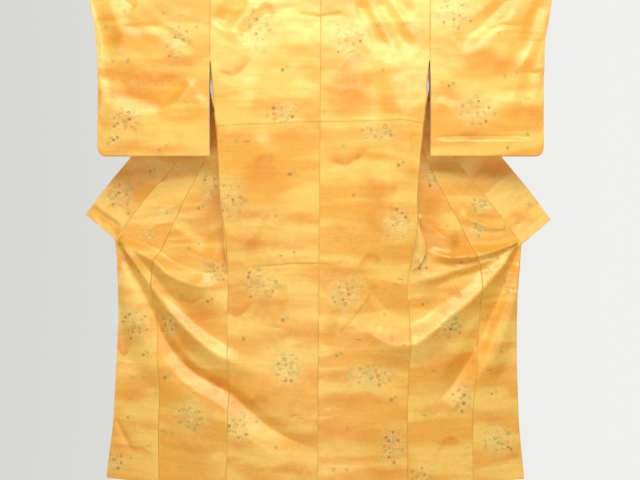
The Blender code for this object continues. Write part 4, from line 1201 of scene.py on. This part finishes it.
# share of the way round the neck, reach, angle back from the top of the saddle, sideways lean
NECK_PATH = (
    (0.00, 0.0000, -88, 0.00), (0.32, 0.0400, -88, 0.00), (0.52, 0.0680, -84, 0.03),
    (0.62, 0.0800, -60, 0.10), (0.72, 0.0850, -25, 0.18), (0.82, 0.0865, 12, 0.28),
    (0.91, 0.0870, 50, 0.38), (1.00, 0.0875, 88, 0.50),
)


def collar_half(side):
    """The seam points and width directions from the middle of the neck to the collar's end."""
    share = np.linspace(0, 1, NECK_STEPS)
    angle = np.radians(smooth(NECK_PATH, 2, share))
    reach = smooth(NECK_PATH, 1, share)
    away = SADDLE + 0.0004
    neck = np.stack([side * reach, away * np.sin(angle), away * np.cos(angle)], axis=-1)
    lean = 0.12 + 0.10 * ease((reach - 0.06) / 0.02)
    stand = np.stack([side * smooth(NECK_PATH, 3, share), lean, 1 + 0 * lean], axis=-1)
    drops = marks(0.0, COLLAR_END[side], LONG_STEP)[2:]
    reach = edge_at(COLLAR_SEAM, side, drops) + SEAM_GAP
    depth = opened_depth(side * reach, drops)
    depth = SHOULDER_DEPTH + (depth - SHOULDER_DEPTH) * ease(drops / 0.035)
    laid = np.stack([side * reach, depth, -drops], axis=-1)
    leaving, flat = (np.array(way) * (side, 1, 1) for way in (LEAVING_WAY, WING_WAY))
    spread = leaving + (flat - leaving) * ease(drops / WAY_RUN)[:, None]
    return np.concatenate([neck, laid]), np.concatenate([stand, spread])


def lay_collar(name):
    (left, left_way), (right, right_way) = collar_half(-1), collar_half(1)
    seam = np.concatenate([left[::-1], right[1:]])
    ways = np.concatenate([left_way[::-1], right_way[1:]])
    ways = ways * COLLAR_WIDTH / np.linalg.norm(ways, axis=1)[:, None]
    share = marks(0.0, COLLAR_WIDTH, COLLAR_STEP) / COLLAR_WIDTH
    spots = seam[:, None] + ways[:, None] * share[None, :, None]
    drop = -seam[:, None, 2] + 0 * spots[..., 0]
    laid = ease((drop - 0.05) / 0.15)
    here = np.maximum(-spots[..., 2], 0)
    spots[..., 1] += (opened_depth(spots[..., 0], here) - spots[..., 1]) * laid
    along = lengths(spots, 0)[:, :1] + 0 * drop
    uv = np.stack([share * COLLAR_WIDTH + 0 * along, along], axis=-1)
    sewn = near_edge(share * COLLAR_WIDTH) + 0 * along
    panel(name, spots, uv, (spots[..., 0], -spots[..., 2]), sewn)


lay_collar("collar")

# %% [markdown]
# ## The sleeves
# A sleeve is a straight piece folded in half over the rod. Its cuff is open at the top, it is sewn round
# a small curve below the cuff, and its inner edge is left open below the armhole. So each sleeve is a
# loop of rows, up the front and down the rear, closed along the bottom fold. The lining shows at both
# open edges as a fine pale line.

# %% Lay the sleeves
SLEEVE_HALF = ((0.00, SADDLE), (0.20, 0.0125), (0.40, 0.0080), (0.52, 0.0045))
BOTTOM_ROUND = 0.008
SLEEVE_WIDTH = 0.35
FRONT_ROW = 0.0092
REAR_ROW = 0.018
SEWN_HALF = 0.0024
# the left cuff's edge ripples between these drops
CUFF_WAVE = (0.18, 0.33)
CUFF_WAVE_HEIGHT = 0.0016
BOTTOM_ROWS = (0.992, 0.996, 0.999)
# shares of the sleeve's drop where its creases run across it
SLEEVE_CREASES = (0.886, 0.211, 0.5)


def sleeve_spots(side, across, layer, value):
    """The sleeve's points: a share of the reach, and each row's layer (-1 front, 0 rod, 1 rear) and value."""
    low_reach = float(edge_at(CUFF_EDGE, side, SLEEVE_DROP))
    past = SLEEVE_CORNER - (low_reach - FURI_REACH) * (1 - across)
    past = np.clip(past, 0, SLEEVE_CORNER)
    bottom = SLEEVE_DROP - SLEEVE_CORNER + np.sqrt(np.maximum(0, SLEEVE_CORNER**2 - past**2))
    drop = np.where(layer == 0, 0, bottom * value)
    outer = edge_at(CUFF_EDGE, side, drop)
    if side < 0:
        wave = ease((drop - CUFF_WAVE[0]) / 0.02) * ease((CUFF_WAVE[1] - drop) / 0.02)
        outer = outer - CUFF_WAVE_HEIGHT * np.sin(drop * 190) * wave
    inner = (FURI_REACH - SHOULDER_REACH) * ease((drop - ARMHOLE_DROP) / 0.10)
    inner = SHOULDER_REACH + SEAM_GAP + inner
    reach = inner + (outer - inner) * across
    half = smooth(SLEEVE_HALF, 1, drop)
    joined = ease((drop - CUFF_DROP) / 0.03) * ease((reach - outer) / 0.06 + 1)
    half = half + (SEWN_HALF - half) * joined
    turn = np.clip((drop - bottom) / BOTTOM_ROUND + 1, 0, 1)
    fade = ease((bottom - drop) / 0.05) * ease((outer - reach) / 0.02 + 0.25) * ease(drop / 0.03)
    folds = (relief(SLEEVE_FOLDS[side], reach, drop) + ripples(reach, drop, 8 + side)) * fade
    depth = layer * half * np.sqrt(1 - turn * turn) - folds * np.where(layer < 0, 1, 0.5) + 0.002 * drop
    rod_depth, rod_height = over_rod(np.where(layer == 0, value, 0))
    depth, height = np.where(layer == 0, rod_depth, depth), np.where(layer == 0, rod_height, -drop)
    return np.stack([side * reach, depth, height], axis=-1), drop, bottom


def lay_sleeve(name, side):
    across = marks(0.0, SLEEVE_WIDTH, CLOTH_STEP)[None, :] / SLEEVE_WIDTH
    front = np.union1d(marks(0.0, 1.0, FRONT_ROW, close=SLEEVE_CREASES), BOTTOM_ROWS)[::-1]
    rear = np.union1d(marks(0.0, 1.0, REAR_ROW), BOTTOM_ROWS)[1:]
    angles = np.radians(np.linspace(0, 180, 17)[1:-1])
    layer = np.concatenate([-np.ones(len(front)), np.zeros(len(angles)), np.ones(len(rear) + 1)])[:, None]
    value = np.concatenate([front, angles, [0.0], rear])[:, None]
    spots, drop, bottom = sleeve_spots(side, across, layer, value)
    reach = np.abs(spots[..., 0])
    uv = np.stack([reach, lengths(spots, 0)[:, 20:21] + 0 * drop], axis=-1)
    armhole = near_edge(reach - SHOULDER_REACH - SEAM_GAP) * (drop < ARMHOLE_DROP)
    hem = near_edge(bottom - drop, 0.003) * 0.5
    panel(name, spots, uv, (spots[..., 0], drop), np.maximum(armhole, hem), closed=True,
          faces_front=len(front) - 1)


for side, word in SIDES:
    lay_sleeve(f"sleeve_{word}", side)

# %% [markdown]
# ## The lining in the side openings
# Below the armhole the back and front are left unsewn for a hand's width, and there the lining of the
# front that hangs behind catches the light as a pale sliver. It is a narrow sheet on that layer's face.

# %% Lay the lining slips
SLIP_TOP = 0.222
SLIP_END = 0.345
SLIP_WIDTH = 0.030
SLIP_WALL = 0.0005


def lay_lining(name, side):
    drops = marks(SLIP_TOP, SLIP_END, 0.005)
    edges = np.array([front_section(side, drop)[0] for drop in drops])
    share = marks(0.0, SLIP_WIDTH, 0.004)[None, :]
    reach = edges[:, :1] + 0.0004 - 0.012 * ease((drops[:, None] - 0.300) / 0.045) - share
    depth = edges[:, 1:] - 0.0016 - 0.0008 * np.sin(drops[:, None] * 90 + share * 60) + 0 * share
    spots = np.stack([side * reach, depth, -drops[:, None] + 0 * share], axis=-1)
    uv = np.stack([share + 0 * reach, drops[:, None] + 0 * share], axis=-1)
    panel(name, spots, uv, (0 * reach, 0 * reach), 0 * reach, ("lining",), wall=SLIP_WALL)


for side, word in SIDES:
    lay_lining(f"lining_{word}", side)

# %% [markdown]
# ## Floor, light and camera
# A large soft lamp above and in front of the garment shows satin best: it brightens every upper slope and
# lets the light fall off towards the hem. A long crown lamp lifts the shoulders, a low fill keeps the hem
# warm, a small lamp at each side reaches the wings, and a rear one is there for the views from behind.
# The camera stands where the photograph was taken, level and square to the garment, and a small pale
# floor lies below the hem.

# %% Floor, lamps, world and camera
FLOOR_RADIUS = 1.3
FLOOR_PLACE = (0, -0.58, -1.75)
floor_mesh = bmesh.new()
bmesh.ops.create_circle(floor_mesh, cap_ends=True, segments=96, radius=FLOOR_RADIUS)
bmesh.ops.translate(floor_mesh, verts=floor_mesh.verts, vec=FLOOR_PLACE)
floor_data = bpy.data.meshes.new("floor")
floor_mesh.to_mesh(floor_data)
floor_mesh.free()
floor = put("floor", floor_data)
plaster, tree, shader = new_finish("pale_floor")
grain = noise(tree, add(tree, "TexCoord").outputs["Object"], 6, 4, dimensions="3D")
pale = blend(tree, grain, (0.70, 0.70, 0.69, 1), (0.76, 0.76, 0.75, 1))
tree.links.new(pale, shader.inputs["Base Color"])
shader.inputs["Roughness"].default_value = 0.8
floor_data.materials.append(plaster)

WARM = (1.0, 0.97, 0.91)
# name, place, aim, width and height, power, colour
LAMPS = (
    ("key", (0.0, -1.9, 1.25), (0, 0, -0.45), (2.6, 1.1), 48.5, WARM),
    ("crown", (0.6, -2.0, 0.62), (0.42, 0, -0.12), (2.0, 0.5), 11.5, (1.0, 0.98, 0.94)),
    ("fill", (-0.3, -2.9, -1.5), (0, 0, -1.4), (2.0, 1.1), 14.5, WARM),
    ("left wing", (-1.9, -1.5, -0.9), (-0.55, 0.1, -0.72), (0.8, 0.8), 6.5, WARM),
    ("right wing", (1.9, -1.5, -0.9), (0.55, 0.1, -0.72), (0.8, 0.8), 6.5, WARM),
    ("rear", (0.6, 2.6, 0.6), (0, 0, -0.8), (1.8, 1.8), 34, (1.0, 0.98, 0.96)),
)
for name, place, aim, size, power, colour in LAMPS:
    data = bpy.data.lights.new(name, "AREA")
    data.shape, data.size, data.size_y = "RECTANGLE", size[0], size[1]
    data.energy, data.color = power, colour
    made = put(name, data)
    made.location = place
    away = [a - b for a, b in zip(place, aim)]
    tilt, turn = math.atan2(math.hypot(away[0], away[1]), away[2]), math.atan2(away[0], -away[1])
    made.rotation_euler = (tilt, 0, turn)

# the backdrop that the camera sees is painted light on a plain wall: shaded darker on the left and lit
# lighter on the right
BACKDROP_SHADED_LEFT = (0.69, 0.69, 0.67, 1)
BACKDROP_LIT_RIGHT = (0.88, 0.88, 0.86, 1)
SOFT_LIGHT = (0.21, 0.19, 0.15, 1)
world = bpy.data.worlds.new("pale room")
bpy.context.scene.world = world
world.use_nodes = True
tree = world.node_tree
ray = add(tree, "LightPath").outputs["Is Camera Ray"]
way = add(tree, "SeparateXYZ", {0: add(tree, "TexCoord").outputs["Generated"]}).outputs[0]
backdrop_painted_light = blend(tree, ramp(tree, way, -0.35, 0.35), BACKDROP_SHADED_LEFT, BACKDROP_LIT_RIGHT)
seen = blend(tree, ray, SOFT_LIGHT, backdrop_painted_light)
tree.links.new(seen, tree.nodes["Background"].inputs["Color"])

SENSOR_WIDTH = 36
PICTURE_PIXELS = 640
FOCAL_PIXELS = 748
CAMERA_AWAY = 2.31
CAMERA_DROP = 0.765
camera_data = bpy.data.cameras.new("camera")
camera_data.sensor_width = SENSOR_WIDTH
camera_data.lens = FOCAL_PIXELS / PICTURE_PIXELS * SENSOR_WIDTH
camera = put("camera", camera_data)
camera.location = (0, -CAMERA_AWAY, -CAMERA_DROP)
camera.rotation_euler = (math.radians(90), 0, 0)
bpy.context.scene.camera = camera
bpy.context.scene.view_settings.view_transform = "Standard"
print("camera lens", round(camera_data.lens, 2))
